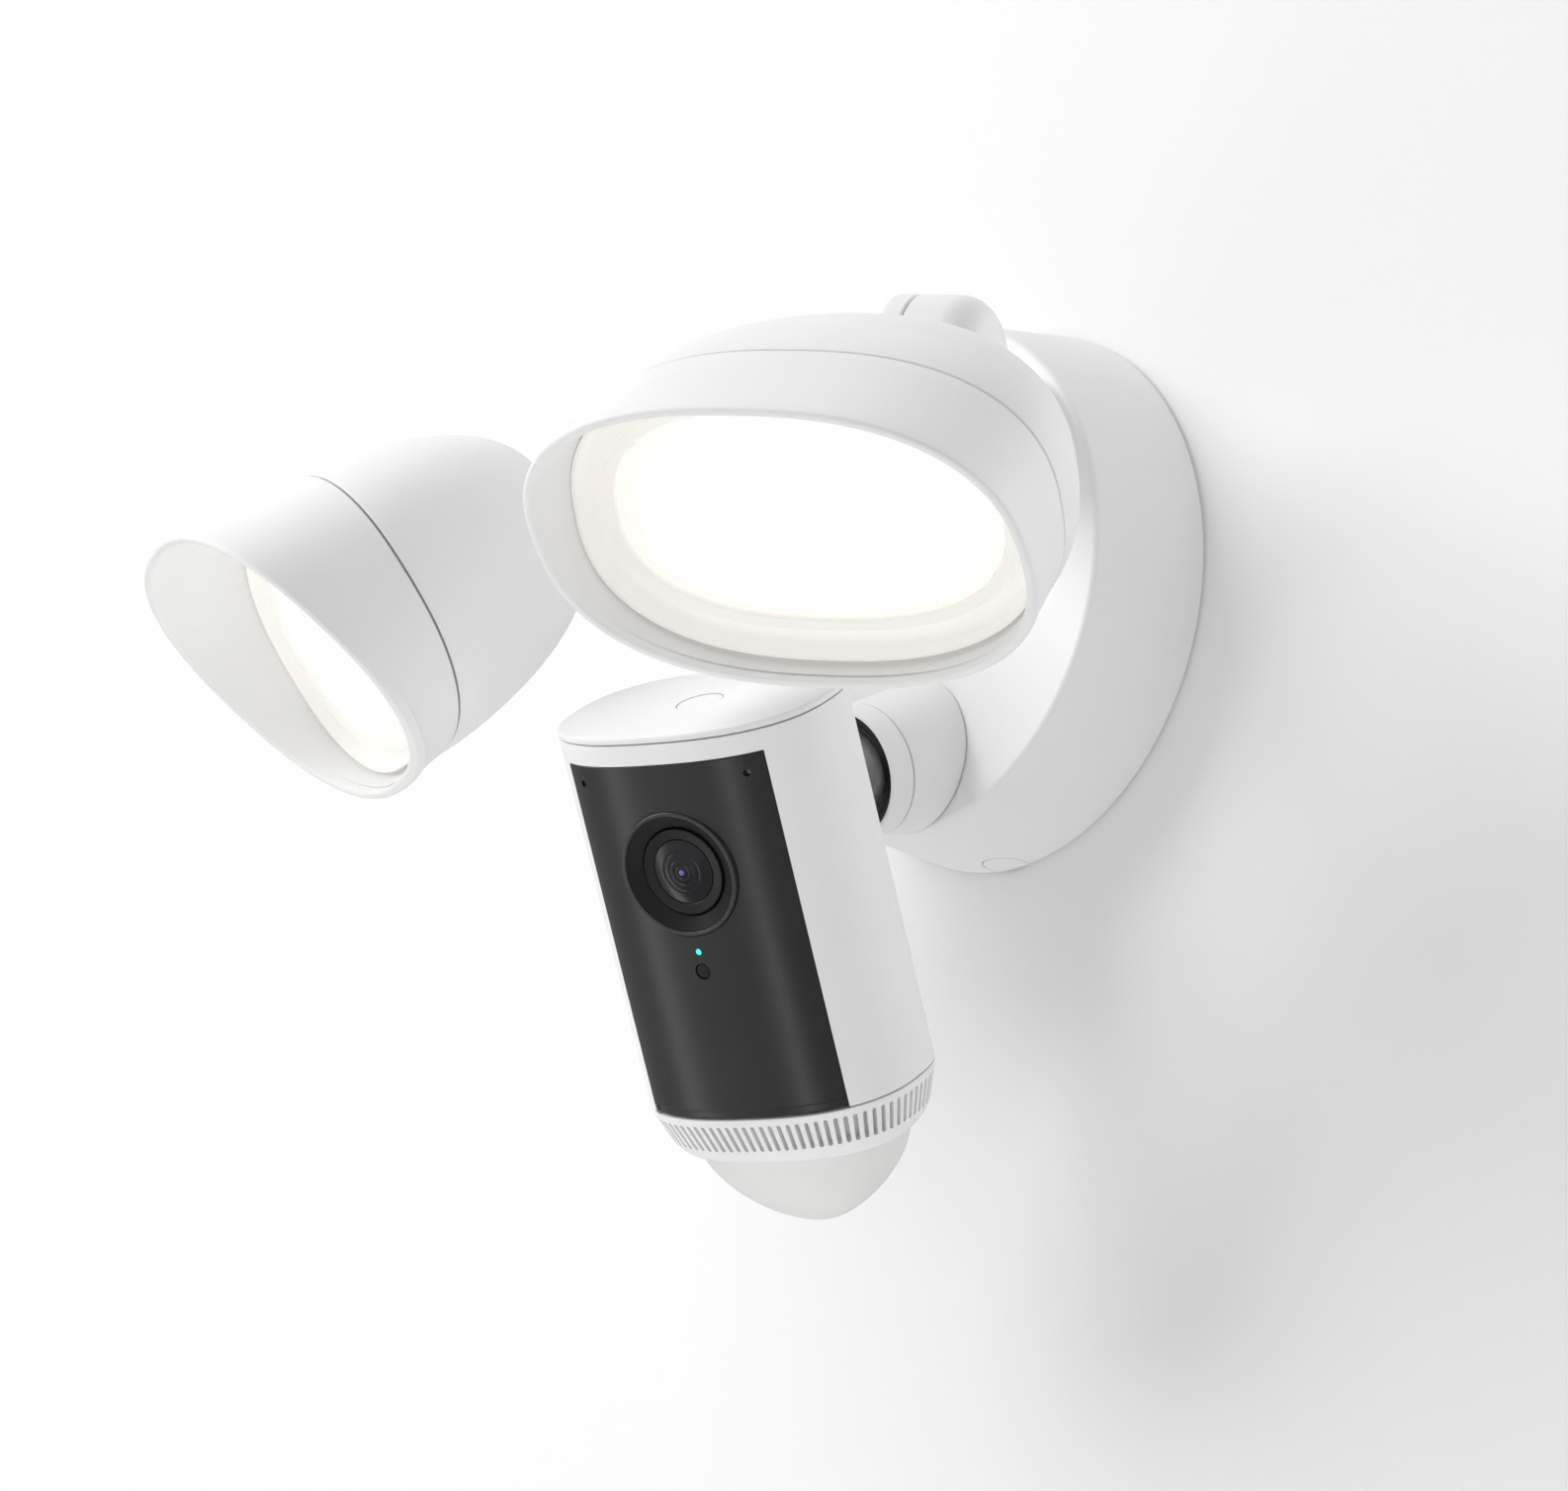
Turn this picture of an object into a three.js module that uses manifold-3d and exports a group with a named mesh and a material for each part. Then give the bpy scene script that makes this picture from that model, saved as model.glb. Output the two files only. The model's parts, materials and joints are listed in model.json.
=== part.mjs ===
// Wall-mounted security camera with two floodlights.
// Millimetres. The wall is the plane y = 0, the object stands in front of it towards -y,
// +z is up and +x is to the right as seen from the front. The origin is the middle of the
// face that meets the wall.
import * as THREE from "three";
import { mergeVertices } from "three/addons/utils/BufferGeometryUtils.js";
import Module from "manifold-3d";

const wasm = await Module();
wasm.setup();

// ---- Driving dimensions ----

const GAP = 0.35; // clearance between neighbouring pieces

// Base: a shallow round housing that covers a junction box.
const BASE_REAR_RADIUS = 67.4;
const BASE_FRONT_RADIUS = 63.4;
const BASE_DEPTH = 32.2;
const BASE_WALL = 2.6;
const BASE_EDGE = 1.6;
const COVER_REAR = 0.5; // the cover stops this far from the wall
const GASKET_THICKNESS = 1.8;
const GASKET_OUTER_RADIUS = 64.1;
const GASKET_INNER_RADIUS = 60.5;

// Arms: each one swivels on a boss moulded on the front of the base.
const ARM_ROOT_X = 35.1;
const ARM_HEIGHT = 29;
const ARM_YAW = 26.57;
const ARM_LENGTH = 54.8;
const ARM_RADIUS = 13;
const ARM_BOSS_LENGTH = 13;
const ARM_SPIGOT_RADIUS = 7.5;
const ARM_BORE_RADIUS = 3.5; // the wires run through it

// Knuckle: two half drums on one pin.
const DRUM_RADIUS = 17;
const DRUM_OUTER_HALF = 15.5;
const DRUM_INNER_HALF = 10.5;
const DRUM_PARTING = 2.5; // the drums part this far to the inner side of the arm's axis
const DRUM_GAP = 1.1;
const PIN_RADIUS = 3;

// Lamp head, with distances measured forward from the knuckle's pin.
const NECK_RADIUS = 14.2;
const NECK_ROOT_RADIUS = 7.5;
const DOME_START = 18;
const SEAM_AT = 71;
const SEAM_HALF_WIDTH = 58.2;
const SEAM_HALF_HEIGHT = 37.2;
const RIM_HALF_WIDTH = 59.5;
const RIM_HALF_HEIGHT = 40;
const HOOD_LENGTH = 25.6;
const HOOD_SLANT = 11.5; // the hood is this much longer above, and shorter below
const HEAD_ROUNDNESS = 2.45;
const HEAD_WALL = 2.2;
const DIFFUSER_HALF_WIDTH = 46.5;
const DIFFUSER_HALF_HEIGHT = 25.6;
const DIFFUSER_FORWARD = 7.4; // in front of the seam

// How the two lamps are aimed: arm swivel and head tilt, in degrees.
const AIM = {
  right: { side: 1, swivel: 7.9, tilt: 41.4 },
  left: { side: -1, swivel: 3.9, tilt: 33.5 },
};

// Camera socket: a boss on the lower front of the base, leaning down.
const SOCKET_HEIGHT = -44.5;
const SOCKET_LEAN = 19.6;
const SOCKET_ROOT_RADIUS = 18;
const SOCKET_RADIUS = 16.2;
const SOCKET_LENGTH = 17;
const COLLAR_LENGTH = 7;
const COLLAR_OPENING = 14.9;
const BALL_AT = 19; // ball centre, out along the socket's axis
const BALL_RADIUS = 11;
const LINER_THICKNESS = 1.25;
const SEAT_RADIUS = 14.4;

// Camera, in its own frame: the ball is its origin, -y is the way the lens looks.
const CAMERA_PAN = 23.83;
const CAMERA_TILT = 32.01;
const CAMERA_TURN = -8.56;
const CAMERA_OUT = 59.2; // ball centre to the middle of the body
const CAMERA_TOP = 38.3; // top face above the ball centre
const BODY_HALF_WIDTH = 34.9;
const BODY_HALF_DEPTH = 24.6;
const BODY_ROUNDNESS = 2.5;
const BODY_LENGTH = 93.65;
const BODY_WALL = 2.4;
const CAP_THICKNESS = 1.6;
const BUTTON_RADIUS = 5.45;
const PANEL_TOP = 7;
const PANEL_HALF_WIDTH = 26.4;
const PANEL_THICKNESS = 1.5;
const LENS_BELOW_TOP = 33.3;
const BEZEL_RADIUS = 15.05;
const BARREL_RADIUS = 10.4;
const GLASS_RADIUS = 7.6;
const LIGHT_RADIUS = 0.75;
const LIGHT_BELOW_LENS = 19;
const SENSOR_BELOW_LENS = 23.7;
const WINDOW_RADIUS = 1.7;
const MICROPHONE_X = 22.3;
const MICROPHONE_ABOVE_LENS = 22;
const BAND_HEIGHT = 13.2;
const BAND_INSET = 7.7;
const DOME_DEPTH = 21.9;

// Smoothness of the round pieces.
const OVAL_SIDES = 40;
const BODY_SIDES = 40;
const BASE_SIDES = 48;
const ROUND_SIDES = 22;
const SMALL_SIDES = 12;

// ---- Materials ----

const paint = (color, roughness, metalness = 0) =>
  new THREE.MeshStandardMaterial({ color, roughness, metalness });
const WHITE = paint(0xf4f4f2, 0.45);
const CREAM = paint(0xf1ede4, 0.55);
const LIT = paint(0xfffdf2, 0.4);
const CHARCOAL = paint(0x2c2c2e, 0.35);
const BLACK = paint(0x0c0c0e, 0.3);
const GREY = paint(0x8c8c8c, 0.5);
const RUBBER = paint(0x6b6b6b, 0.8);
const FOAM = paint(0xd2d2cf, 0.9);
const STEEL = paint(0xb8bbbe, 0.35, 0.9);
const ALUMINIUM = paint(0xc9ccd0, 0.4, 0.9);
const BOARD = paint(0x1f6b43, 0.6);
const GLASS = paint(0x16161f, 0.05);

// ---- Geometry helpers ----

const radians = THREE.MathUtils.degToRad;

// A closed geometry as a manifold solid, with its faces turned outwards.
function solidOf(geometry) {
  const bare = geometry.clone();
  bare.deleteAttribute("normal");
  bare.deleteAttribute("uv");
  const merged = mergeVertices(bare, 1e-4);
  const vertProperties = merged.attributes.position.array;
  const triVerts = new Uint32Array(merged.index.array);
  if (signedVolume(vertProperties, triVerts) < 0) {
    for (let i = 0; i < triVerts.length; i += 3) {
      [triVerts[i + 1], triVerts[i + 2]] = [triVerts[i + 2], triVerts[i + 1]];
    }
  }
  const mesh = new wasm.Mesh({ numProp: 3, vertProperties, triVerts });
  return new wasm.Manifold(mesh);
}

function signedVolume(positions, triangles) {
  const corner = [new THREE.Vector3(), new THREE.Vector3(), new THREE.Vector3()];
  let sum = 0;
  for (let i = 0; i < triangles.length; i += 3) {
    corner.forEach((c, j) => c.fromArray(positions, 3 * triangles[i + j]));
    sum += corner[0].dot(corner[1].clone().cross(corner[2]));
  }
  return sum / 6;
}

function geometryOf(solid) {
  const { vertProperties, triVerts } = solid.getMesh();
  return new THREE.BufferGeometry()
    .setAttribute("position", new THREE.BufferAttribute(vertProperties, 3))
    .setIndex(new THREE.BufferAttribute(triVerts, 1));
}

const join = (first, ...others) =>
  geometryOf(others.reduce((sum, g) => sum.add(solidOf(g)), solidOf(first)));

const cut = (body, ...tools) =>
  geometryOf(tools.reduce((rest, g) => rest.subtract(solidOf(g)), solidOf(body)));

const keep = (body, tool) => geometryOf(solidOf(body).intersect(solidOf(tool)));

// A solid of revolution about the y axis, from [radius, y] points that close on themselves.
function turned(points, sides = ROUND_SIDES) {
  const profile = points.map(([radius, y]) => new THREE.Vector2(radius, y));
  profile.push(profile[0].clone());
  return new THREE.LatheGeometry(profile, sides);
}

// A cylinder along y between two heights.
const rod = (radius, from, to, sides = ROUND_SIDES) =>
  turned([[0, from], [radius, from], [radius, to], [0, to]], sides);

// A ring along y between two radii and two heights.
const tube = (inner, outer, from, to, sides = ROUND_SIDES) =>
  turned([[inner, from], [outer, from], [outer, to], [inner, to]], sides);

// A box given by its ranges along x, y and z.
function block([x0, x1], [y0, y1], [z0, z1]) {
  const box = new THREE.BoxGeometry(x1 - x0, y1 - y0, z1 - z0);
  return box.translate((x0 + x1) / 2, (y0 + y1) / 2, (z0 + z1) / 2);
}

// One point of an oval between an ellipse and a rectangle, at an angle from the first axis.
function ovalPoint(halfWidth, halfHeight, roundness, angle) {
  const round = (value) => Math.sign(value) * Math.abs(value) ** (2 / roundness);
  return [halfWidth * round(Math.cos(angle)), halfHeight * round(Math.sin(angle))];
}

// A closed surface through rings of equal length. The rings either end in two caps or, for a
// hollow piece, run along the outside, back along the inside and meet themselves.
function lofted(rings, meets = false) {
  const sides = rings[0].length;
  const positions = rings.flat().flatMap((p) => p.toArray());
  const index = [];
  const steps = meets ? rings.length : rings.length - 1;
  for (let r = 0; r < steps; r++) {
    const here = r * sides;
    const next = ((r + 1) % rings.length) * sides;
    for (let s = 0; s < sides; s++) {
      const t = (s + 1) % sides;
      index.push(here + s, here + t, next + s, here + t, next + t, next + s);
    }
  }
  if (!meets) {
    capRing(rings[0], 0, positions, index, false);
    capRing(rings.at(-1), (rings.length - 1) * sides, positions, index, true);
  }
  return new THREE.BufferGeometry()
    .setAttribute("position", new THREE.Float32BufferAttribute(positions, 3))
    .setIndex(index);
}

function capRing(ring, start, positions, index, last) {
  const middle = new THREE.Vector3();
  ring.forEach((p) => middle.addScaledVector(p, 1 / ring.length));
  const centre = positions.length / 3;
  positions.push(...middle.toArray());
  ring.forEach((_, s) => {
    const a = start + s;
    const b = start + ((s + 1) % ring.length);
    index.push(...(last ? [a, b, centre] : [b, a, centre]));
  });
}

const node = (name, geometry, material, parent) => {
  const mesh = new THREE.Mesh(geometryOf(solidOf(geometry)), material);
  mesh.name = name;
  parent.add(mesh);
  return mesh;
};

const group = (parent) => {
  const made = new THREE.Group();
  parent.add(made);
  return made;
};

const floodlight = new THREE.Group();

// ---- Base ----

const socketFrame = group(floodlight);
socketFrame.position.set(0, -BASE_DEPTH, SOCKET_HEIGHT);
socketFrame.rotation.x = radians(SOCKET_LEAN);

// The same placing as a matrix, for tools that cut the base cover.
function placed(geometry, frame) {
  frame.updateMatrix();
  return geometry.clone().applyMatrix4(frame.matrix);
}

function armFrame(side) {
  const frame = new THREE.Group();
  frame.position.set(side * ARM_ROOT_X, -BASE_DEPTH, ARM_HEIGHT);
  frame.rotation.z = side * radians(ARM_YAW);
  return frame;
}

// Radius of the base's side wall at a distance from the wall.
const baseRadius = (depth) =>
  BASE_REAR_RADIUS + ((BASE_FRONT_RADIUS - BASE_REAR_RADIUS) * depth) / BASE_DEPTH;

// The plug that hides the fixing screw, in the lower side of the cover.
const PLUG_HALF_WIDTH = 5.7;
const PLUG_DEPTH = 8.6;
const PLUG_THICKNESS = 3;

function plugShape(margin) {
  const half = PLUG_HALF_WIDTH + margin;
  const outline = new THREE.Shape();
  outline.moveTo(-half, COVER_REAR);
  outline.lineTo(half, COVER_REAR);
  outline.lineTo(half, PLUG_DEPTH - PLUG_HALF_WIDTH);
  outline.absarc(0, PLUG_DEPTH - PLUG_HALF_WIDTH, half, 0, Math.PI, false);
  outline.lineTo(-half, COVER_REAR);
  return outline;
}

// The plug's outline drawn out through the cover's lower side wall.
function plugBlank(margin) {
  const reach = 12;
  const blank = new THREE.ExtrudeGeometry(plugShape(margin), {
    depth: reach,
    bevelEnabled: false,
    curveSegments: 8,
  });
  return blank.rotateX(Math.PI).translate(0, 0, 8 - BASE_REAR_RADIUS);
}

function baseCover() {
  const rear = COVER_REAR;
  const shell = turned(
    [
      [baseRadius(rear), -rear],
      [BASE_FRONT_RADIUS + 0.2, -(BASE_DEPTH - BASE_EDGE)],
      [BASE_FRONT_RADIUS - 0.4, -(BASE_DEPTH - BASE_EDGE * 0.3)],
      [BASE_FRONT_RADIUS - BASE_EDGE, -BASE_DEPTH],
      [0, -BASE_DEPTH],
      [0, -(BASE_DEPTH - BASE_WALL)],
      [BASE_FRONT_RADIUS - BASE_WALL - 1, -(BASE_DEPTH - BASE_WALL)],
      [baseRadius(rear) - BASE_WALL, -rear],
    ],
    BASE_SIDES,
  );
  const bosses = [-1, 1].map((side) =>
    placed(rod(ARM_RADIUS + 0.6, 8, -ARM_BOSS_LENGTH), armFrame(side)),
  );
  const rearOfBosses = block([-70, 70], [-(BASE_DEPTH - BASE_WALL), 10], [-70, 70]);
  const trimmed = bosses.map((boss) => cut(boss, rearOfBosses));
  const bores = [-1, 1].map((side) =>
    placed(rod(ARM_SPIGOT_RADIUS + 0.5, 20, -ARM_BOSS_LENGTH - 1), armFrame(side)),
  );
  const socketHole = placed(rod(SEAT_RADIUS - 2, 12, -12), socketFrame);
  return cut(join(shell, ...trimmed), ...bores, socketHole, plugBlank(GAP));
}

function wallGasket() {
  return tube(GASKET_INNER_RADIUS, GASKET_OUTER_RADIUS, -GASKET_THICKNESS, 0, BASE_SIDES);
}

const BRACKET_HALF_LENGTH = 54;
const BRACKET_HALF_HEIGHT = 11;
const BRACKET_THICKNESS = 2.4;
const TAB_HEIGHT = -52;
const SLOT_CENTRES = [-42, -26, 26, 42];
const FIXING_SCREW_FROM_WALL = 7.2;

// A slotted bar with a leg down to the tab that takes the fixing screw.
function mountBracket() {
  const bar = block(
    [-BRACKET_HALF_LENGTH, BRACKET_HALF_LENGTH],
    [-BRACKET_THICKNESS, 0],
    [-BRACKET_HALF_HEIGHT, BRACKET_HALF_HEIGHT],
  );
  const leg = block([-9, 9], [-BRACKET_THICKNESS, 0], [TAB_HEIGHT, 0]);
  const tab = block([-7, 7], [-12, 0], [TAB_HEIGHT, TAB_HEIGHT + BRACKET_THICKNESS]);
  const slots = SLOT_CENTRES.map((x) => block([x - 5, x + 5], [-5, 5], [-2.6, 2.6]));
  const screwHole = rod(2.4, -20, 20, 16).rotateX(Math.PI / 2);
  screwHole.translate(0, -FIXING_SCREW_FROM_WALL, TAB_HEIGHT);
  return cut(join(bar, leg, tab), ...slots, screwHole);
}

const REAR_PLATE_AT = BRACKET_THICKNESS + 0.6;
const REAR_PLATE_THICKNESS = 2;
const REAR_PLATE_RADIUS = 60;
const CABLE_HOLE_RADIUS = 13;

function rearPlate() {
  const front = -(REAR_PLATE_AT + REAR_PLATE_THICKNESS);
  const plate = tube(CABLE_HOLE_RADIUS, REAR_PLATE_RADIUS, front, -REAR_PLATE_AT, 36);
  return cut(plate, block([-12, 12], [-20, 10], [-70, TAB_HEIGHT + 8]));
}

// A round-headed screw, its head's top at y = 0 and its shank towards -y.
function screw(headRadius, headHeight, shankRadius, length) {
  const body = turned(
    [
      [0, 0],
      [headRadius * 0.7, 0],
      [headRadius, -headHeight * 0.5],
      [headRadius, -headHeight],
      [shankRadius, -headHeight],
      [shankRadius, -length],
      [0, -length - shankRadius],
    ],
    SMALL_SIDES,
  );
  const slot = block([-headRadius, headRadius], [-headHeight * 0.4, 1], [-0.5, 0.5]);
  return cut(body, slot);
}

// Sits in the opening of the side wall, its outer face following the wall's curve.
function screwCoverPlug() {
  const rear = COVER_REAR;
  const front = PLUG_DEPTH + 2;
  const ring = turned(
    [
      [baseRadius(rear), -rear],
      [baseRadius(front), -front],
      [baseRadius(front) - PLUG_THICKNESS, -front],
      [baseRadius(rear) - PLUG_THICKNESS, -rear],
    ],
    BASE_SIDES,
  );
  return keep(ring, plugBlank(0));
}

// A hexagonal nut between two heights, with a round hole.
const hexNut = (radius, hole, from, to) =>
  cut(rod(radius, from, to, 6), rod(hole, from - 1, to + 1, 20));

const base = group(floodlight);
node("wall_gasket", wallGasket(), FOAM, base);
node("mount_bracket", mountBracket(), STEEL, base);
node("rear_plate", rearPlate(), STEEL, base);
node("base_cover", baseCover(), WHITE, base);
node("screw_cover_plug", screwCoverPlug(), WHITE, base);

const fixingScrew = node("fixing_screw", screw(4, 2.6, 1.9, 12), STEEL, base);
fixingScrew.rotation.x = -Math.PI / 2;
fixingScrew.position.set(0, -FIXING_SCREW_FROM_WALL, TAB_HEIGHT - 6);

const BOARD_AT = 9;
const BOARD_THICKNESS = 1.6;
const ON_BOARD = -(BOARD_AT + BOARD_THICKNESS + GAP);
const driverBoard = block([-42, 42], [-BOARD_AT - BOARD_THICKNESS, -BOARD_AT], [-24, 22]);
node("driver_board", driverBoard, BOARD, base);
node("driver_transformer", block([-14, 14], [ON_BOARD - 15, ON_BOARD], [-12, 10]), BLACK, base);
node("terminal_block", block([24, 38], [ON_BOARD - 9, ON_BOARD], [-20, 2]), CREAM, base);
const capacitor = node("smoothing_capacitor", rod(6, 0, -15, 20), CHARCOAL, base);
capacitor.position.set(-29, ON_BOARD, -8);

// ---- Camera socket, in a frame whose -y runs out along its axis ----

function socketBoss() {
  const outside = [
    [SOCKET_ROOT_RADIUS, 10],
    [SOCKET_ROOT_RADIUS, 0],
    [SOCKET_RADIUS + 0.6, -SOCKET_LENGTH * 0.6],
    [SOCKET_RADIUS, -SOCKET_LENGTH],
  ];
  const bore = SEAT_RADIUS + GAP;
  const inside = [[bore, -SOCKET_LENGTH], [bore, -7], [9, -3.5], [9, 10]];
  const boss = turned([...outside, ...inside]);
  // The root is cut flat, parallel to the front of the base.
  const behind = block([-60, 60], [-GAP, 60], [-60, 60]);
  behind.rotateX(-radians(SOCKET_LEAN));
  return cut(boss, behind);
}

function socketCollar() {
  const from = -SOCKET_LENGTH - GAP;
  const to = from - COLLAR_LENGTH;
  return turned(
    [
      [SOCKET_RADIUS - 0.2, from],
      [SOCKET_RADIUS - 0.3, to + 0.8],
      [SOCKET_RADIUS - 0.8, to + 0.15],
      [COLLAR_OPENING + 0.1, to],
      [COLLAR_OPENING, to + 1],
      [COLLAR_OPENING, from],
    ],
  );
}

// Points along a sphere about the ball's centre, from just past its middle to its rear.
function pocket(radius, lip, steps) {
  const from = Math.asin(lip / radius);
  return Array.from({ length: steps + 1 }, (_, i) => {
    const angle = -from + ((from + Math.PI / 2) * i) / steps;
    const across = i === steps ? 0 : radius * Math.cos(angle);
    return [across, -BALL_AT + radius * Math.sin(angle)];
  });
}

// The fixed cup, and the thin spherical liner that turns in it and holds the ball.
function ballSeat() {
  const radius = BALL_RADIUS + LINER_THICKNESS + 2 * GAP;
  const lip = 3.4;
  const outside = [
    [0, -BALL_AT + radius + 1.4],
    [8, -BALL_AT + radius + 0.4],
    [SEAT_RADIUS, -BALL_AT + 7],
    [SEAT_RADIUS, -BALL_AT - lip + 0.6],
    [SEAT_RADIUS - 0.6, -BALL_AT - lip],
  ];
  return turned([...outside, ...pocket(radius, lip, 7)]);
}

function ballLiner() {
  const inner = BALL_RADIUS + GAP;
  const lip = 3.2;
  const outside = pocket(inner + LINER_THICKNESS, lip, 7).reverse();
  return turned([...outside, ...pocket(inner, lip, 7)]);
}

node("socket_boss", socketBoss(), WHITE, socketFrame);
node("socket_collar", socketCollar(), WHITE, socketFrame);
node("ball_seat", ballSeat(), BLACK, socketFrame);
node("ball_liner", ballLiner(), BLACK, socketFrame);

// ---- Floodlights ----

// Half a knuckle drum about the x axis, from the parting gap outwards, on one side.
function halfDrum(side, near, half, rounding) {
  const chamfer = 0.8;
  const profile = [
    [0, near],
    [DRUM_RADIUS - chamfer, near],
    [DRUM_RADIUS, near + chamfer * 0.7],
    [DRUM_RADIUS, half - rounding],
    [DRUM_RADIUS - rounding * 0.13, half - rounding * 0.5],
    [DRUM_RADIUS - rounding * 0.5, half - rounding * 0.13],
    [DRUM_RADIUS - rounding, half],
    [0, half],
  ];
  return turned(profile).rotateZ(-side * Math.PI / 2);
}

// The space that the other half of the knuckle turns in.
const drumSpace = (side, from) =>
  rod(DRUM_RADIUS + 0.6, from, 40).rotateZ(-side * Math.PI / 2);

const pinHole = () => rod(PIN_RADIUS + 0.3, -30, 30, SMALL_SIDES).rotateZ(Math.PI / 2);

const NUT_AT = 9.4; // behind the front of the base, clear of its slanting inner face
const SPIGOT_END = 15;

function armPiece(side) {
  const neckEnd = -ARM_LENGTH;
  const stub = turned(
    [
      [ARM_BORE_RADIUS, SPIGOT_END],
      [ARM_SPIGOT_RADIUS, SPIGOT_END],
      [ARM_SPIGOT_RADIUS, -ARM_BOSS_LENGTH - 0.8],
      [ARM_RADIUS, -ARM_BOSS_LENGTH - 0.8],
      [ARM_RADIUS, neckEnd],
      [ARM_BORE_RADIUS, neckEnd],
    ],
  );
  const near = DRUM_GAP / 2 - DRUM_PARTING;
  const drum = halfDrum(side, near, DRUM_OUTER_HALF, 12).translate(0, neckEnd, 0);
  const other = drumSpace(-side, -near).translate(0, neckEnd, 0);
  const pin = pinHole().translate(0, neckEnd, 0);
  const headSunk = rod(5.3, -4, 4, SMALL_SIDES).rotateZ(Math.PI / 2);
  headSunk.translate(side * (DRUM_OUTER_HALF + 1), neckEnd, 0);
  return cut(join(cut(stub, other), drum), pin, headSunk);
}

function neckPiece(side) {
  const collar = turned(
    [
      [0, 0],
      [NECK_RADIUS, 0],
      [NECK_RADIUS, -DOME_START + 2.6],
      [NECK_RADIUS - 0.5, -DOME_START + 2.4],
      [NECK_RADIUS - 0.5, -DOME_START + 2],
      [NECK_RADIUS, -DOME_START + 1.8],
      [NECK_RADIUS, -DOME_START + GAP],
      [NECK_ROOT_RADIUS, -DOME_START + GAP],
      [NECK_ROOT_RADIUS, -DOME_START - 7],
      [0, -DOME_START - 7],
    ],
  );
  const near = DRUM_GAP / 2 + DRUM_PARTING;
  const drum = halfDrum(-side, near, DRUM_INNER_HALF, 4.5);
  const other = drumSpace(side, -near);
  return cut(join(cut(collar, other), drum), pinHole());
}

// A ring of the head: an oval across the forward axis.
function headRing(halfWidth, halfHeight, forward, roundness = HEAD_ROUNDNESS, slant = 0) {
  return Array.from({ length: OVAL_SIDES }, (_, s) => {
    const angle = (2 * Math.PI * s) / OVAL_SIDES;
    const [x, z] = ovalPoint(halfWidth, halfHeight, roundness, angle);
    return new THREE.Vector3(x, -(forward + (slant * z) / RIM_HALF_HEIGHT), z);
  });
}

const DOME_WIDTH_CURVE = 1.92;
const DOME_HEIGHT_CURVE = 1.77;

// The rear housing swells from the round neck to the oval seam. The inset follows its wall.
function domeRing(back, inset) {
  const share = back / (SEAM_AT - DOME_START);
  const wide = (1 - share ** DOME_WIDTH_CURVE) ** (1 / DOME_WIDTH_CURVE);
  const high = (1 - share ** DOME_HEIGHT_CURVE) ** (1 / DOME_HEIGHT_CURVE);
  return headRing(
    NECK_RADIUS + (SEAM_HALF_WIDTH - NECK_RADIUS) * wide - inset,
    NECK_RADIUS + (SEAM_HALF_HEIGHT - NECK_RADIUS) * high - inset,
    SEAM_AT - back,
    2 + (HEAD_ROUNDNESS - 2) * wide,
  );
}

function rearHousing() {
  const depth = SEAM_AT - DOME_START;
  const outside = [0, 13, 25, 35, 43, 49, 52].map((back) => domeRing(back, 0));
  const end = headRing(NECK_RADIUS, NECK_RADIUS, DOME_START, 2);
  const hole = [DOME_START, DOME_START + 3].map((forward) =>
    headRing(NECK_ROOT_RADIUS + 0.5, NECK_ROOT_RADIUS + 0.5, forward, 2),
  );
  const inside = [depth - 4.5, 41, 30, 16, 0].map((back) => domeRing(back, HEAD_WALL));
  return lofted([...outside, end, ...hole, ...inside], true);
}

const SEAM_GAP = 0.6;

function seamGasket() {
  const ring = (inset, forward) =>
    headRing(SEAM_HALF_WIDTH - inset, SEAM_HALF_HEIGHT - inset, SEAM_AT + forward);
  return lofted([ring(0.7, 0.12), ring(0.7, 0.48), ring(2, 0.48), ring(2, 0.12)], true);
}

function hood() {
  const start = SEAM_AT + SEAM_GAP;
  const rim = SEAM_AT + HOOD_LENGTH;
  const ring = (inset, forward, slant) =>
    headRing(RIM_HALF_WIDTH - inset, RIM_HALF_HEIGHT - inset, forward, HEAD_ROUNDNESS, slant);
  const seam = (inset) =>
    headRing(SEAM_HALF_WIDTH - inset, SEAM_HALF_HEIGHT - inset, start);
  return lofted(
    [
      seam(0),
      ring(0, rim - 1, HOOD_SLANT),
      ring(0.7, rim - 0.2, HOOD_SLANT),
      ring(1.6, rim, HOOD_SLANT),
      ring(2.3, rim - 1, HOOD_SLANT),
      seam(HEAD_WALL),
    ],
    true,
  );
}

// The cream tray around the lamp: it rises along the hood's wall, and has a raised frame.
function reflector() {
  const tray = (inset, forward) =>
    headRing(SEAM_HALF_WIDTH - inset, SEAM_HALF_HEIGHT - inset, SEAM_AT + forward);
  const frame = (outset, forward) =>
    headRing(DIFFUSER_HALF_WIDTH + outset, DIFFUSER_HALF_HEIGHT + outset, SEAM_AT + forward);
  return lofted(
    [
      tray(2.7, 2.5),
      tray(2.5, 9),
      tray(3.4, 9),
      tray(4.2, 5.6),
      tray(6.2, 4.6),
      frame(3.4, DIFFUSER_FORWARD - 1),
      frame(2.8, DIFFUSER_FORWARD),
      frame(0.3, DIFFUSER_FORWARD),
      frame(0.3, 2.5),
    ],
    true,
  );
}

function diffuser() {
  const ring = (scale, forward) =>
    headRing(
      (DIFFUSER_HALF_WIDTH - 0.1) * scale,
      (DIFFUSER_HALF_HEIGHT - 0.1) * scale,
      SEAM_AT + forward,
    );
  return lofted([ring(1, 4), ring(1, 6.4), ring(0.93, 7), ring(0.6, 7.9), ring(0.25, 8.4)]);
}

const PLATE_INSET = 6;

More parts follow.
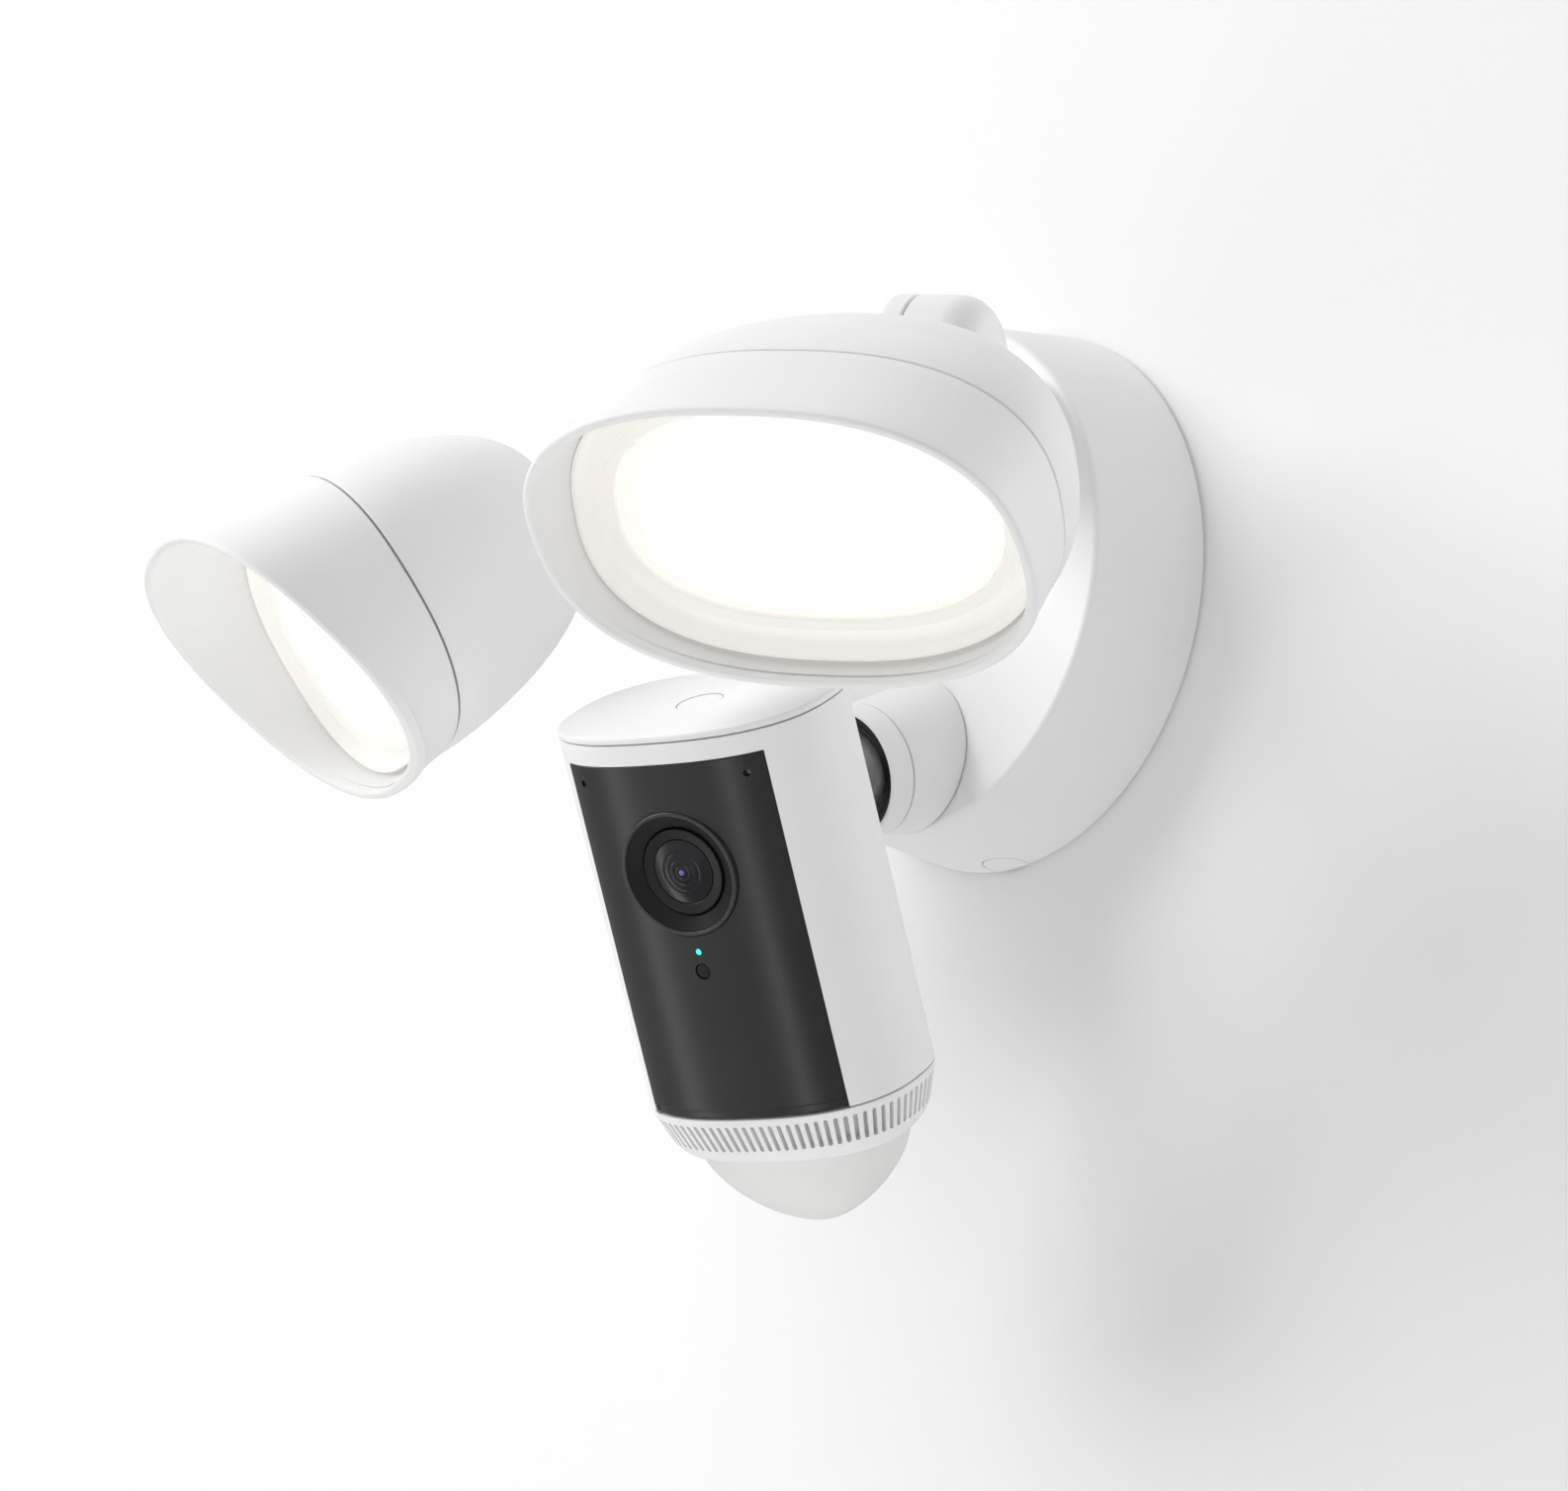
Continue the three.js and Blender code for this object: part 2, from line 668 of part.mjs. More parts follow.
// A flat oval plate behind the lamp's tray.
function ovalPlate(inset, from, to) {
  const ring = (forward) =>
    headRing(SEAM_HALF_WIDTH - inset, SEAM_HALF_HEIGHT - inset, SEAM_AT + forward);
  return lofted([ring(from), ring(to)]);
}

for (const [name, { side, swivel, tilt }] of Object.entries(AIM)) {
  const mounting = armFrame(side);
  floodlight.add(mounting);

  const sealFront = -ARM_BOSS_LENGTH - 0.2;
  node(name + "_arm_seal", tube(9.4, 12.2, sealFront - 0.4, sealFront), RUBBER, mounting);

  const arm = group(mounting);
  arm.rotation.y = radians(swivel);
  node(name + "_arm", armPiece(side), WHITE, arm);
  const nut = hexNut(11.5, ARM_SPIGOT_RADIUS + GAP, NUT_AT, NUT_AT + 4);
  node(name + "_arm_nut", nut, STEEL, arm);

  const knuckle = group(arm);
  knuckle.position.y = -ARM_LENGTH;
  const pinLength = DRUM_OUTER_HALF + DRUM_INNER_HALF - 5;
  const pinShape = screw(4.9, 2.4, PIN_RADIUS, pinLength);
  const pin = node(name + "_hinge_screw", pinShape, STEEL, knuckle);
  pin.rotation.z = -side * Math.PI / 2;
  pin.position.x = side * (DRUM_OUTER_HALF - 0.3);
  const washer = node(name + "_tilt_washer", tube(3.5, 9, -0.25, 0.25), STEEL, knuckle);
  washer.rotation.z = Math.PI / 2;
  washer.position.x = -side * DRUM_PARTING;

  const head = group(knuckle);
  head.rotation.x = radians(tilt);
  node(name + "_neck", neckPiece(side), WHITE, head);
  node(name + "_rear_housing", rearHousing(), WHITE, head);
  node(name + "_seam_gasket", seamGasket(), RUBBER, head);
  node(name + "_hood", hood(), WHITE, head);
  node(name + "_reflector", reflector(), CREAM, head);
  node(name + "_diffuser", diffuser(), LIT, head);
  node(name + "_led_board", ovalPlate(PLATE_INSET, 0.4, 2), BOARD, head);
  node(name + "_heat_spreader", ovalPlate(PLATE_INSET, -3.6, 0), ALUMINIUM, head);
}

// ---- Camera ----

const ball = new THREE.Vector3(0, -BALL_AT, 0);
socketFrame.updateMatrix();
ball.applyMatrix4(socketFrame.matrix);

const pan = group(floodlight);
pan.position.copy(ball);
pan.rotation.z = radians(CAMERA_PAN);
const tiltFrame = group(pan);
tiltFrame.rotation.x = radians(CAMERA_TILT);
const camera = group(tiltFrame);
camera.rotation.z = radians(CAMERA_TURN);

const body = group(camera);
body.position.set(0, -CAMERA_OUT, CAMERA_TOP);

// An oval across the body, at a distance below its top face.
function bodyRing(inset, below) {
  return Array.from({ length: BODY_SIDES }, (_, s) => {
    const angle = (2 * Math.PI * s) / BODY_SIDES;
    const halfWidth = BODY_HALF_WIDTH - inset;
    const [x, y] = ovalPoint(halfWidth, BODY_HALF_DEPTH - inset, BODY_ROUNDNESS, angle);
    return new THREE.Vector3(x, y, -below);
  });
}

// A wall that runs round the body between two insets and two heights.
function hollow(outer, inner, from, to) {
  const outside = [bodyRing(outer, from), bodyRing(outer, to)];
  return lofted([...outside, bodyRing(inner, to), bodyRing(inner, from)], true);
}

const lensHole = (radius) => rod(radius, -40, 0).translate(0, 0, -LENS_BELOW_TOP);

function cameraShell() {
  const shell = hollow(0, BODY_WALL, CAP_THICKNESS + GAP, BODY_LENGTH);
  const skin = hollow(-2, PANEL_THICKNESS + GAP, PANEL_TOP - GAP, BODY_LENGTH + 1);
  const half = PANEL_HALF_WIDTH + GAP;
  const recess = keep(skin, block([-half, half], [-60, 0], [-200, 0]));
  const studHole = rod(5.6, 0, 60).translate(0, 0, -CAMERA_TOP);
  const lightHole = rod(LIGHT_RADIUS + 0.65, -40, 0, SMALL_SIDES);
  lightHole.translate(0, 0, -(LENS_BELOW_TOP + LIGHT_BELOW_LENS));
  return cut(shell, recess, lensHole(BEZEL_RADIUS + GAP), lightHole, studHole);
}

function frontPanel() {
  const skin = hollow(0, PANEL_THICKNESS, PANEL_TOP, BODY_LENGTH - 0.2);
  const plate = keep(skin, block([-PANEL_HALF_WIDTH, PANEL_HALF_WIDTH], [-60, 0], [-200, 0]));
  const small = (radius, x, below) => rod(radius, -40, 0, 14).translate(x, 0, -below);
  const microphoneBelow = LENS_BELOW_TOP - MICROPHONE_ABOVE_LENS;
  return cut(
    plate,
    lensHole(BEZEL_RADIUS + GAP),
    small(LIGHT_RADIUS + 0.15, 0, LENS_BELOW_TOP + LIGHT_BELOW_LENS),
    small(WINDOW_RADIUS + 0.3, 0, LENS_BELOW_TOP + SENSOR_BELOW_LENS),
    small(0.8, -MICROPHONE_X, microphoneBelow),
    small(0.8, MICROPHONE_X, microphoneBelow),
  );
}

function topCap() {
  const lid = lofted([
    bodyRing(1, 0),
    bodyRing(0.3, 0.25),
    bodyRing(0, 0.8),
    bodyRing(0, CAP_THICKNESS),
    bodyRing(BODY_WALL + 0.4, CAP_THICKNESS),
    bodyRing(BODY_WALL + 0.4, CAP_THICKNESS + 2),
  ]);
  const hole = rod(BUTTON_RADIUS + 0.3, -10, 10).rotateX(Math.PI / 2);
  return cut(lid, hole);
}

// ---- Lens group: turned about the y axis, its front towards -y ----

const LENS_FRONT = -(BODY_HALF_DEPTH + 0.3);

function lensBezel() {
  return turned(
    [
      [BEZEL_RADIUS, LENS_FRONT + 3],
      [BEZEL_RADIUS, LENS_FRONT + 0.6],
      [BEZEL_RADIUS - 0.5, LENS_FRONT],
      [BEZEL_RADIUS - 1.2, LENS_FRONT],
      [BARREL_RADIUS + 0.9, LENS_FRONT + 1.5],
      [BARREL_RADIUS + GAP, LENS_FRONT + 1.5],
      [BARREL_RADIUS + GAP, LENS_FRONT + 5],
      [BEZEL_RADIUS - 2, LENS_FRONT + 5],
      [BEZEL_RADIUS - 2, LENS_FRONT + 3],
    ],
    36,
  );
}

function lensBarrel() {
  return turned(
    [
      [BARREL_RADIUS, LENS_FRONT + 1.6],
      [BARREL_RADIUS - 0.5, LENS_FRONT + 1.1],
      [GLASS_RADIUS + 0.8, LENS_FRONT + 2.2],
      [GLASS_RADIUS + 0.3, LENS_FRONT + 2.2],
      [GLASS_RADIUS + 0.3, LENS_FRONT + 7.5],
      [3.5, LENS_FRONT + 8.5],
      [3.5, LENS_FRONT + 14],
      [7.5, LENS_FRONT + 14],
      [BARREL_RADIUS, LENS_FRONT + 9],
    ],
  );
}

function lensGlass() {
  return turned(
    [
      [0, LENS_FRONT + 1.9],
      [3, LENS_FRONT + 2.1],
      [5.6, LENS_FRONT + 2.7],
      [GLASS_RADIUS, LENS_FRONT + 3.6],
      [GLASS_RADIUS, LENS_FRONT + 5],
      [0, LENS_FRONT + 5],
    ],
  );
}

// ---- Lower end: slotted band and motion sensor dome ----

const BAND_TOP = BODY_LENGTH + GAP;
const BAND_BOTTOM = BAND_TOP + BAND_HEIGHT;

function grilleBand() {
  const outside = [
    bodyRing(0, BAND_TOP),
    bodyRing(0.6, BAND_TOP + 2),
    bodyRing(3.1, BAND_TOP + 9.2),
    bodyRing(4.7, BAND_TOP + 11.6),
    bodyRing(6.2, BAND_BOTTOM - 0.4),
    bodyRing(BAND_INSET, BAND_BOTTOM),
  ];
  const inside = [
    bodyRing(BAND_INSET, BAND_BOTTOM - 2),
    bodyRing(5.6, BAND_TOP + 9.2),
    bodyRing(2.4, BAND_TOP),
  ];
  return lofted([...outside, ...inside], true);
}

const TIP_CURVE = 1.6;

// The bulging, slightly pointed dome: its section shrinks towards the tip.
function sensorDome() {
  const ring = (share, wall) => {
    const size = (1 - share ** TIP_CURVE) ** (1 / TIP_CURVE);
    const inset = (1 - size) * (BODY_HALF_DEPTH - BAND_INSET) + BAND_INSET + GAP + wall;
    const width = (BODY_HALF_WIDTH - BAND_INSET - GAP) * size - wall;
    return bodyRing(inset, BAND_BOTTOM - 1.4 + share * (DOME_DEPTH + 1.4 - wall)).map((p) =>
      p.setX((p.x * width) / (BODY_HALF_WIDTH - inset)),
    );
  };
  const outside = [0, 0.15, 0.35, 0.57, 0.77, 0.92, 0.99].map((share) => ring(share, 0));
  const inside = [0, 0.35, 0.65, 0.88].map((share) => ring(share, 1.4));
  const mouth = inside[0].map((p) => p.clone().setZ(p.z + 1));
  return cut(lofted(outside), lofted([mouth, ...inside]));
}

node("camera_shell", cameraShell(), WHITE, body);
node("front_panel", frontPanel(), CHARCOAL, body);
node("top_cap", topCap(), WHITE, body);
const button = node(
  "setup_button",
  turned(
    [
      [0, -0.1],
      [BUTTON_RADIUS - 0.5, -0.1],
      [BUTTON_RADIUS, -0.5],
      [BUTTON_RADIUS, -2.6],
      [0, -2.6],
    ],
    28,
  ),
  WHITE,
  body,
);
button.rotation.x = Math.PI / 2;
node("button_switch", block([-3, 3], [-3, 3], [-8, -4.2]), BLACK, body);

for (const [name, geometry, material] of [
  ["lens_bezel", lensBezel(), BLACK],
  ["lens_barrel", lensBarrel(), BLACK],
  ["lens_glass", lensGlass(), GLASS],
]) {
  node(name, geometry, material, body).position.z = -LENS_BELOW_TOP;
}

const lightPipe = rod(LIGHT_RADIUS, LENS_FRONT + 0.4, LENS_FRONT + 8, SMALL_SIDES);
const statusLight = node("status_light_pipe", lightPipe, LIT, body);
statusLight.position.z = -(LENS_BELOW_TOP + LIGHT_BELOW_LENS);
const sensorWindow = rod(WINDOW_RADIUS, LENS_FRONT + 0.5, LENS_FRONT + 2, SMALL_SIDES);
const lightSensor = node("light_sensor_window", sensorWindow, BLACK, body);
lightSensor.position.z = -(LENS_BELOW_TOP + SENSOR_BELOW_LENS);

const imageBoard = block([-16, 16], [-10, -10 + BOARD_THICKNESS], [-16, 16]);
node("image_sensor_board", imageBoard, BOARD, body).position.z = -LENS_BELOW_TOP;
const MAIN_BOARD_TOP = -9;
const MAIN_BOARD_BOTTOM = -76;
const mainBoard = block([-24, 24], [0, BOARD_THICKNESS], [MAIN_BOARD_BOTTOM, MAIN_BOARD_TOP]);
node("main_board", mainBoard, BOARD, body);

// The speaker faces down: a magnet, a tapering basket and a rim.
const MAGNET_RADIUS = 9;
const SPEAKER_RADIUS = 15;
const speakerShape = turned(
  [
    [0, 0],
    [MAGNET_RADIUS, 0],
    [MAGNET_RADIUS, -7],
    [SPEAKER_RADIUS, -10],
    [SPEAKER_RADIUS, -12.5],
    [0, -12.5],
  ],
  32,
);
const speaker = node("speaker", speakerShape, BLACK, body);
speaker.rotation.x = Math.PI / 2;
speaker.position.z = MAIN_BOARD_BOTTOM - 3;

node("grille_band", grilleBand(), WHITE, body);
node("sensor_dome", sensorDome(), CREAM, body);
const MOTION_BOARD_AT = -BAND_BOTTOM + 4.4;
const motionBoard = block([-18, 18], [-12, 12], [0, BOARD_THICKNESS]);
node("motion_board", motionBoard, BOARD, body).position.z = MOTION_BOARD_AT;
const sensor = node("motion_sensor", rod(4.6, 0, -4.6, 20), STEEL, body);
sensor.rotation.x = Math.PI / 2;
sensor.position.z = MOTION_BOARD_AT - 0.4;

// ---- Ball stud between the socket and the camera ----

const STUD_RADIUS = 5;

function ballStud() {
  const points = [];
  const neck = 5.4;
  const steps = 11;
  const last = Math.PI - Math.asin(neck / BALL_RADIUS);
  for (let i = 0; i <= steps; i++) {
    const angle = (last * i) / steps;
    points.push([BALL_RADIUS * Math.sin(angle), BALL_RADIUS * Math.cos(angle)]);
  }
  points[0][0] = 0;
  const rearOfBody = -(CAMERA_OUT - BODY_HALF_DEPTH);
  points.push(
    [STUD_RADIUS, -14],
    [STUD_RADIUS, rearOfBody + 6],
    [8.5, rearOfBody + 2],
    [8.5, rearOfBody + 0.5],
    [5.1, rearOfBody + 0.5],
    [5.1, rearOfBody - 8],
    [0, rearOfBody - 8],
  );
  return turned(points);
}

node("ball_stud", ballStud(), GREY, camera);
const studNut = node("stud_nut", hexNut(9.2, 5.4, -4, 0), STEEL, camera);
studNut.position.y = -(CAMERA_OUT - BODY_HALF_DEPTH) - BODY_WALL - 0.5;

export default floodlight;
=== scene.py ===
import json
import math

import bmesh
import bpy
from mathutils import Matrix, Vector


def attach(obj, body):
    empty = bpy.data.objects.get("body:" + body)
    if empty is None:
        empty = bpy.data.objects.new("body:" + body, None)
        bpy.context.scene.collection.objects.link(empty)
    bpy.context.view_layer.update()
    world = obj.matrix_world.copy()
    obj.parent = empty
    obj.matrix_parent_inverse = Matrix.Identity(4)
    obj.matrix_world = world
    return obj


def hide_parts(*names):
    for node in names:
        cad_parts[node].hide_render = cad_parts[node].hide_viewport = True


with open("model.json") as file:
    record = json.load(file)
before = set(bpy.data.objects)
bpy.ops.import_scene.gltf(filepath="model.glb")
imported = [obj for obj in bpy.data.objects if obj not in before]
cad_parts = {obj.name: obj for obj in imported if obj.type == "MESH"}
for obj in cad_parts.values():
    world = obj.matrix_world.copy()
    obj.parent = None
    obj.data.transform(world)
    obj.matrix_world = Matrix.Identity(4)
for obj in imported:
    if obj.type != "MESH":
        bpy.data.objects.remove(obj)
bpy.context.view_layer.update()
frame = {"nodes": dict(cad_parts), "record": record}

# Lengths of the shapes are in millimetres and become metres where a piece is placed.
MM = 0.001

# ---- The part's driving dimensions ----

GAP = 0.35
BASE_REAR_RADIUS = 67.4
BASE_FRONT_RADIUS = 63.4
BASE_DEPTH = 32.2
BASE_WALL = 2.6
BASE_EDGE = 1.6
BASE_REAR = 0.5
ARM_ROOT_X = 35.1
ARM_HEIGHT = 29
ARM_YAW = 26.57
ARM_LENGTH = 54.8
ARM_RADIUS = 13
ARM_BOSS_LENGTH = 13
ARM_BORE_RADIUS = 3.5
ARM_SPIGOT_RADIUS = 7.5
SPIGOT_END = 15
DRUM_RADIUS = 17
DRUM_OUTER_HALF = 15.5
DRUM_INNER_HALF = 10.5
DRUM_PARTING = 2.5
DRUM_GAP = 0.6
ARM_DRUM_ROUNDING = 10.5
NECK_DRUM_ROUNDING = 4.5
INTO_DRUM = 0.15  # how far a tube's cut end reaches into its drum
PIN_RADIUS = 3
PIN_HEAD_RADIUS = 5.3
NECK_RADIUS = 14.2
NECK_ROOT_RADIUS = 7.5
DOME_START = 18
DOME_WIDTH_CURVE = 1.92
DOME_HEIGHT_CURVE = 1.77
SEAM_AT = 71
SEAM_GAP = 0.6
SEAM_HALF_WIDTH = 58.2
SEAM_HALF_HEIGHT = 37.2
RIM_HALF_WIDTH = 59.35
RIM_HALF_HEIGHT = 40
HOOD_LENGTH = 25.3
HOOD_SLANT = 11.5
HEAD_ROUNDNESS = 2.45
HEAD_WALL = 2.2
DIFFUSER_HALF_WIDTH = 46.5
DIFFUSER_HALF_HEIGHT = 25.6
DIFFUSER_FORWARD = 7.4
AIM = {"right": (1, 7.9, 41.4), "left": (-1, 3.9, 33.5)}
SOCKET_HEIGHT = -44.5
SOCKET_LEAN = 19.6
SOCKET_ROOT_RADIUS = 18
SOCKET_RADIUS = 16.2
SOCKET_LENGTH = 17
COLLAR_LENGTH = 7
COLLAR_OPENING = 14.9
SEAT_RADIUS = 14.4
BALL_AT = 19
BALL_RADIUS = 11
LINER_THICKNESS = 1.25
CAMERA_PAN = 23.83
CAMERA_TILT = 32.01
CAMERA_TURN = -8.56
CAMERA_OUT = 59.2
CAMERA_TOP = 38.3
BODY_HALF_WIDTH = 34.9
BODY_HALF_DEPTH = 24.6
BODY_ROUNDNESS = 2.5
BODY_LENGTH = 93.65
BODY_WALL = 2.4
CAP_THICKNESS = 1.6
BUTTON_RADIUS = 5.45
PANEL_TOP = 7
PANEL_HALF_WIDTH = 26.4
PANEL_THICKNESS = 1.5
LENS_BELOW_TOP = 33.3
BEZEL_RADIUS = 15.05
BARREL_RADIUS = 10.4
GLASS_RADIUS = 7.6
GLASS_RINGS = (1.7, 3.2, 4.8)
GROOVE_WIDTH = 0.22
GROOVE_DEPTH = 0.07
PUPIL_RADIUS = 0.85
LENS_FRONT = -24.9
LIGHT_RADIUS = 0.75
LIGHT_BELOW_LENS = 19
SENSOR_BELOW_LENS = 23.7
MICROPHONE_X = 22.3
MICROPHONE_ABOVE_LENS = 22
BAND_TOP = 94.0
BAND_HEIGHT = 13.2
BAND_INSET = 7.7
DOME_DEPTH = 21.9
TIP_CURVE = 1.6
SLOTS_IN_BAND = 82
SLOT_HALF_WIDTH = 0.55

# ---- How finely the shapes are made ----

OVAL_SIDES = 192
ROUND_SIDES = 128
SHARP_FROM = 32  # degrees between two faces
MERGE_WITHIN = 1e-3
BEYOND = 40  # a cutting tool reaches at least this far past what it cuts

# ---- Places of the moving groups, as matrices in metres ----


def shift(x, y, z):
    return Matrix.Translation((x * MM, y * MM, z * MM))


def turn(axis, degrees):
    return Matrix.Rotation(math.radians(degrees), 4, axis)


ROOT = Matrix.Identity(4)
MOUNTING = {
    name: shift(side * ARM_ROOT_X, -BASE_DEPTH, ARM_HEIGHT) @ turn("Z", side * ARM_YAW)
    for name, (side, _, _) in AIM.items()
}
ARM = {name: MOUNTING[name] @ turn("Y", AIM[name][1]) for name in AIM}
HEAD = {name: ARM[name] @ shift(0, -ARM_LENGTH, 0) @ turn("X", AIM[name][2]) for name in AIM}
SOCKET = shift(0, -BASE_DEPTH, SOCKET_HEIGHT) @ turn("X", SOCKET_LEAN)
BALL = Matrix.Translation(SOCKET @ Vector((0, -BALL_AT * MM, 0)))
CAMERA = BALL @ turn("Z", CAMERA_PAN) @ turn("X", CAMERA_TILT) @ turn("Z", CAMERA_TURN)
BODY = CAMERA @ shift(0, -CAMERA_OUT, CAMERA_TOP)
LENS = BODY @ shift(0, 0, -LENS_BELOW_TOP)
QUARTER = math.pi / 2

# ---- Shapes ----


def circle(radius, along):
    """A ring round the y axis."""
    step = 2 * math.pi / ROUND_SIDES
    return [
        (radius * math.cos(i * step), along, radius * math.sin(i * step))
        for i in range(ROUND_SIDES)
    ]


def oval(half_width, half_height, roundness, sides=OVAL_SIDES):
    """Points of an oval between an ellipse and a rectangle, evenly turned."""
    points = []
    for i in range(sides):
        angle = 2 * math.pi * i / sides
        c, s = math.cos(angle), math.sin(angle)
        reach = (abs(c) ** roundness + abs(s) ** roundness) ** (-1 / roundness)
        points.append((half_width * c * reach, half_height * s * reach))
    return points


def swept(profile, ring=circle, closed=True):
    """The surface through one ring per profile point. An open one ends in points or caps."""
    shape = bmesh.new()
    rows = [[shape.verts.new(p) for p in ring(*point)] for point in profile]
    following = rows[1:] + rows[:1] if closed else rows[1:]
    for here, there in zip(rows, following):
        for i in range(len(here)):
            j = (i + 1) % len(here)
            shape.faces.new((here[i], here[j], there[j], there[i]))
    if not closed:
        for row in (rows[0], rows[-1]):
            if (row[0].co - row[len(row) // 2].co).length > 0.01:
                shape.faces.new(row)
    bmesh.ops.remove_doubles(shape, verts=shape.verts, dist=MERGE_WITHIN)
    bmesh.ops.recalc_face_normals(shape, faces=shape.faces)
    return shape


def rounded(corners, steps=6, closed=True):
    """Profile points, each corner (u, v, radius) turned into an arc of that radius."""
    points = []
    last = len(corners) - 1
    for i, (u, v, radius) in enumerate(corners):
        if radius == 0 or (not closed and i in (0, last)):
            points.append((u, v))
            continue
        here = Vector((u, v))
        before = Vector(corners[i - 1][:2]) - here
        after = Vector(corners[(i + 1) % (last + 1)][:2]) - here
        half = before.angle(after) / 2
        reach = min(radius / math.tan(half), 0.49 * before.length, 0.49 * after.length)
        middle = before.normalized() + after.normalized()
        centre = here + middle.normalized() * (reach / math.cos(half))
        start = here + before.normalized() * reach - centre
        end = here + after.normalized() * reach - centre
        first = math.atan2(start.y, start.x)
        swing = (math.atan2(end.y, end.x) - first + math.pi) % (2 * math.pi) - math.pi
        for k in range(steps + 1):
            angle = first + swing * k / steps
            arc = Vector((math.cos(angle), math.sin(angle))) * start.length
            points.append(tuple(centre + arc))
    return points


def lathe(corners):
    """A solid of revolution round the y axis, from (radius, y, rounding) corners."""
    closed = corners[0][0] > 0
    return swept(rounded(corners, closed=closed), closed=closed)


def rod(radius, start, end, rounding=0.0):
    return lathe([(0, start, 0), (radius, start, rounding), (radius, end, rounding), (0, end, 0)])


def block(x, y, z):
    shape = bmesh.new()
    bmesh.ops.create_cube(shape, size=1)
    size = Vector((x[1] - x[0], y[1] - y[0], z[1] - z[0]))
    middle = Vector((x[0] + x[1], y[0] + y[1], z[0] + z[1])) / 2
    shape.transform(Matrix.Translation(middle) @ Matrix.Diagonal((*size, 1)))
    return shape


def moved(shape, *matrices):
    """The shape after the matrices, the first one last. Their lengths are in millimetres."""
    whole = Matrix.Identity(4)
    for matrix in matrices:
        whole = whole @ matrix
    shape.transform(whole)
    return shape


def in_mm(matrix):
    """A placing in metres as one for shapes that are in millimetres."""
    copy = matrix.copy()
    copy.translation = matrix.translation / MM
    return copy


def at(x, y, z):
    return Matrix.Translation((x, y, z))


def tool_object(shape):
    mesh = bpy.data.meshes.new("tool")
    shape.to_mesh(mesh)
    shape.free()
    made = bpy.data.objects.new("tool", mesh)
    bpy.context.scene.collection.objects.link(made)
    return made


def combined(shape, operation, *tools):
    """The shape after a union, difference or intersection with each tool."""
    target = tool_object(shape)
    others = [tool_object(tool) for tool in tools]
    for other in others:
        step = target.modifiers.new("step", "BOOLEAN")
        step.operation = operation
        step.object = other
        step.solver = "EXACT"
    result = bmesh.new()
    result.from_object(target, bpy.context.evaluated_depsgraph_get())
    for made in (target, *others):
        mesh = made.data
        bpy.data.objects.remove(made)
        bpy.data.meshes.remove(mesh)
    return result


def cut(shape, *tools):
    return combined(shape, "DIFFERENCE", *tools)


def joined(shape, *tools):
    return combined(shape, "UNION", *tools)


def common(shape, *tools):
    return combined(shape, "INTERSECT", *tools)


# ---- Materials ----

MOTTLE_SCALE = 45.0
GRAIN_DEPTH = 0.0002


def new_material(name):
    made = bpy.data.materials.new(name)
    made.use_nodes = True
    shader = made.node_tree.nodes["Principled BSDF"]
    return made, made.node_tree.nodes, made.node_tree.links, shader


def noise(nodes, links, scale, detail=3.0):
    place = nodes.new("ShaderNodeTexCoord")
    texture = nodes.new("ShaderNodeTexNoise")
    texture.inputs["Scale"].default_value = scale
    texture.inputs["Detail"].default_value = detail
    links.new(place.outputs["Object"], texture.inputs["Vector"])
    return texture.outputs["Fac"]


def spread(nodes, links, source, low, high):
    """The source, about 0.3 to 0.7, mapped to a range."""
    span = nodes.new("ShaderNodeMapRange")
    span.inputs["From Min"].default_value = 0.3
    span.inputs["From Max"].default_value = 0.7
    span.inputs["To Min"].default_value = low
    span.inputs["To Max"].default_value = high
    links.new(source, span.inputs["Value"])
    return span.outputs["Result"]


def blended(nodes, links, source, first, second):
    """A colour between two, by the source."""
    mix = nodes.new("ShaderNodeMix")
    mix.data_type = "RGBA"
    mix.inputs["A"].default_value = (*first, 1)
    mix.inputs["B"].default_value = (*second, 1)
    links.new(source, mix.inputs["Factor"])
    return mix.outputs["Result"]


def textured(name, dark, light, rough, grain=0.03, scale=1400.0, **sockets):
    """A moulded or metal surface: slight mottling, uneven gloss and a fine grain."""
    made, nodes, links, shader = new_material(name)
    broad = noise(nodes, links, MOTTLE_SCALE)
    fine = noise(nodes, links, scale)
    share = spread(nodes, links, broad, 0.0, 1.0)
    links.new(blended(nodes, links, share, dark, light), shader.inputs["Base Color"])
    links.new(spread(nodes, links, broad, *rough), shader.inputs["Roughness"])
    if grain:
        bump = nodes.new("ShaderNodeBump")
        bump.inputs["Strength"].default_value = grain
        bump.inputs["Distance"].default_value = GRAIN_DEPTH
        links.new(fine, bump.inputs["Height"])
        links.new(bump.outputs["Normal"], shader.inputs["Normal"])
    for socket, value in sockets.items():
        shader.inputs[socket.replace("_", " ")].default_value = value
    return made


def tuned(material, **sockets):
    """The material with some of its shader's sockets set, named with _ for each space."""
    shader = material.node_tree.nodes["Principled BSDF"]
    for socket, value in sockets.items():
        shader.inputs[socket.replace("_", " ")].default_value = value
    return material


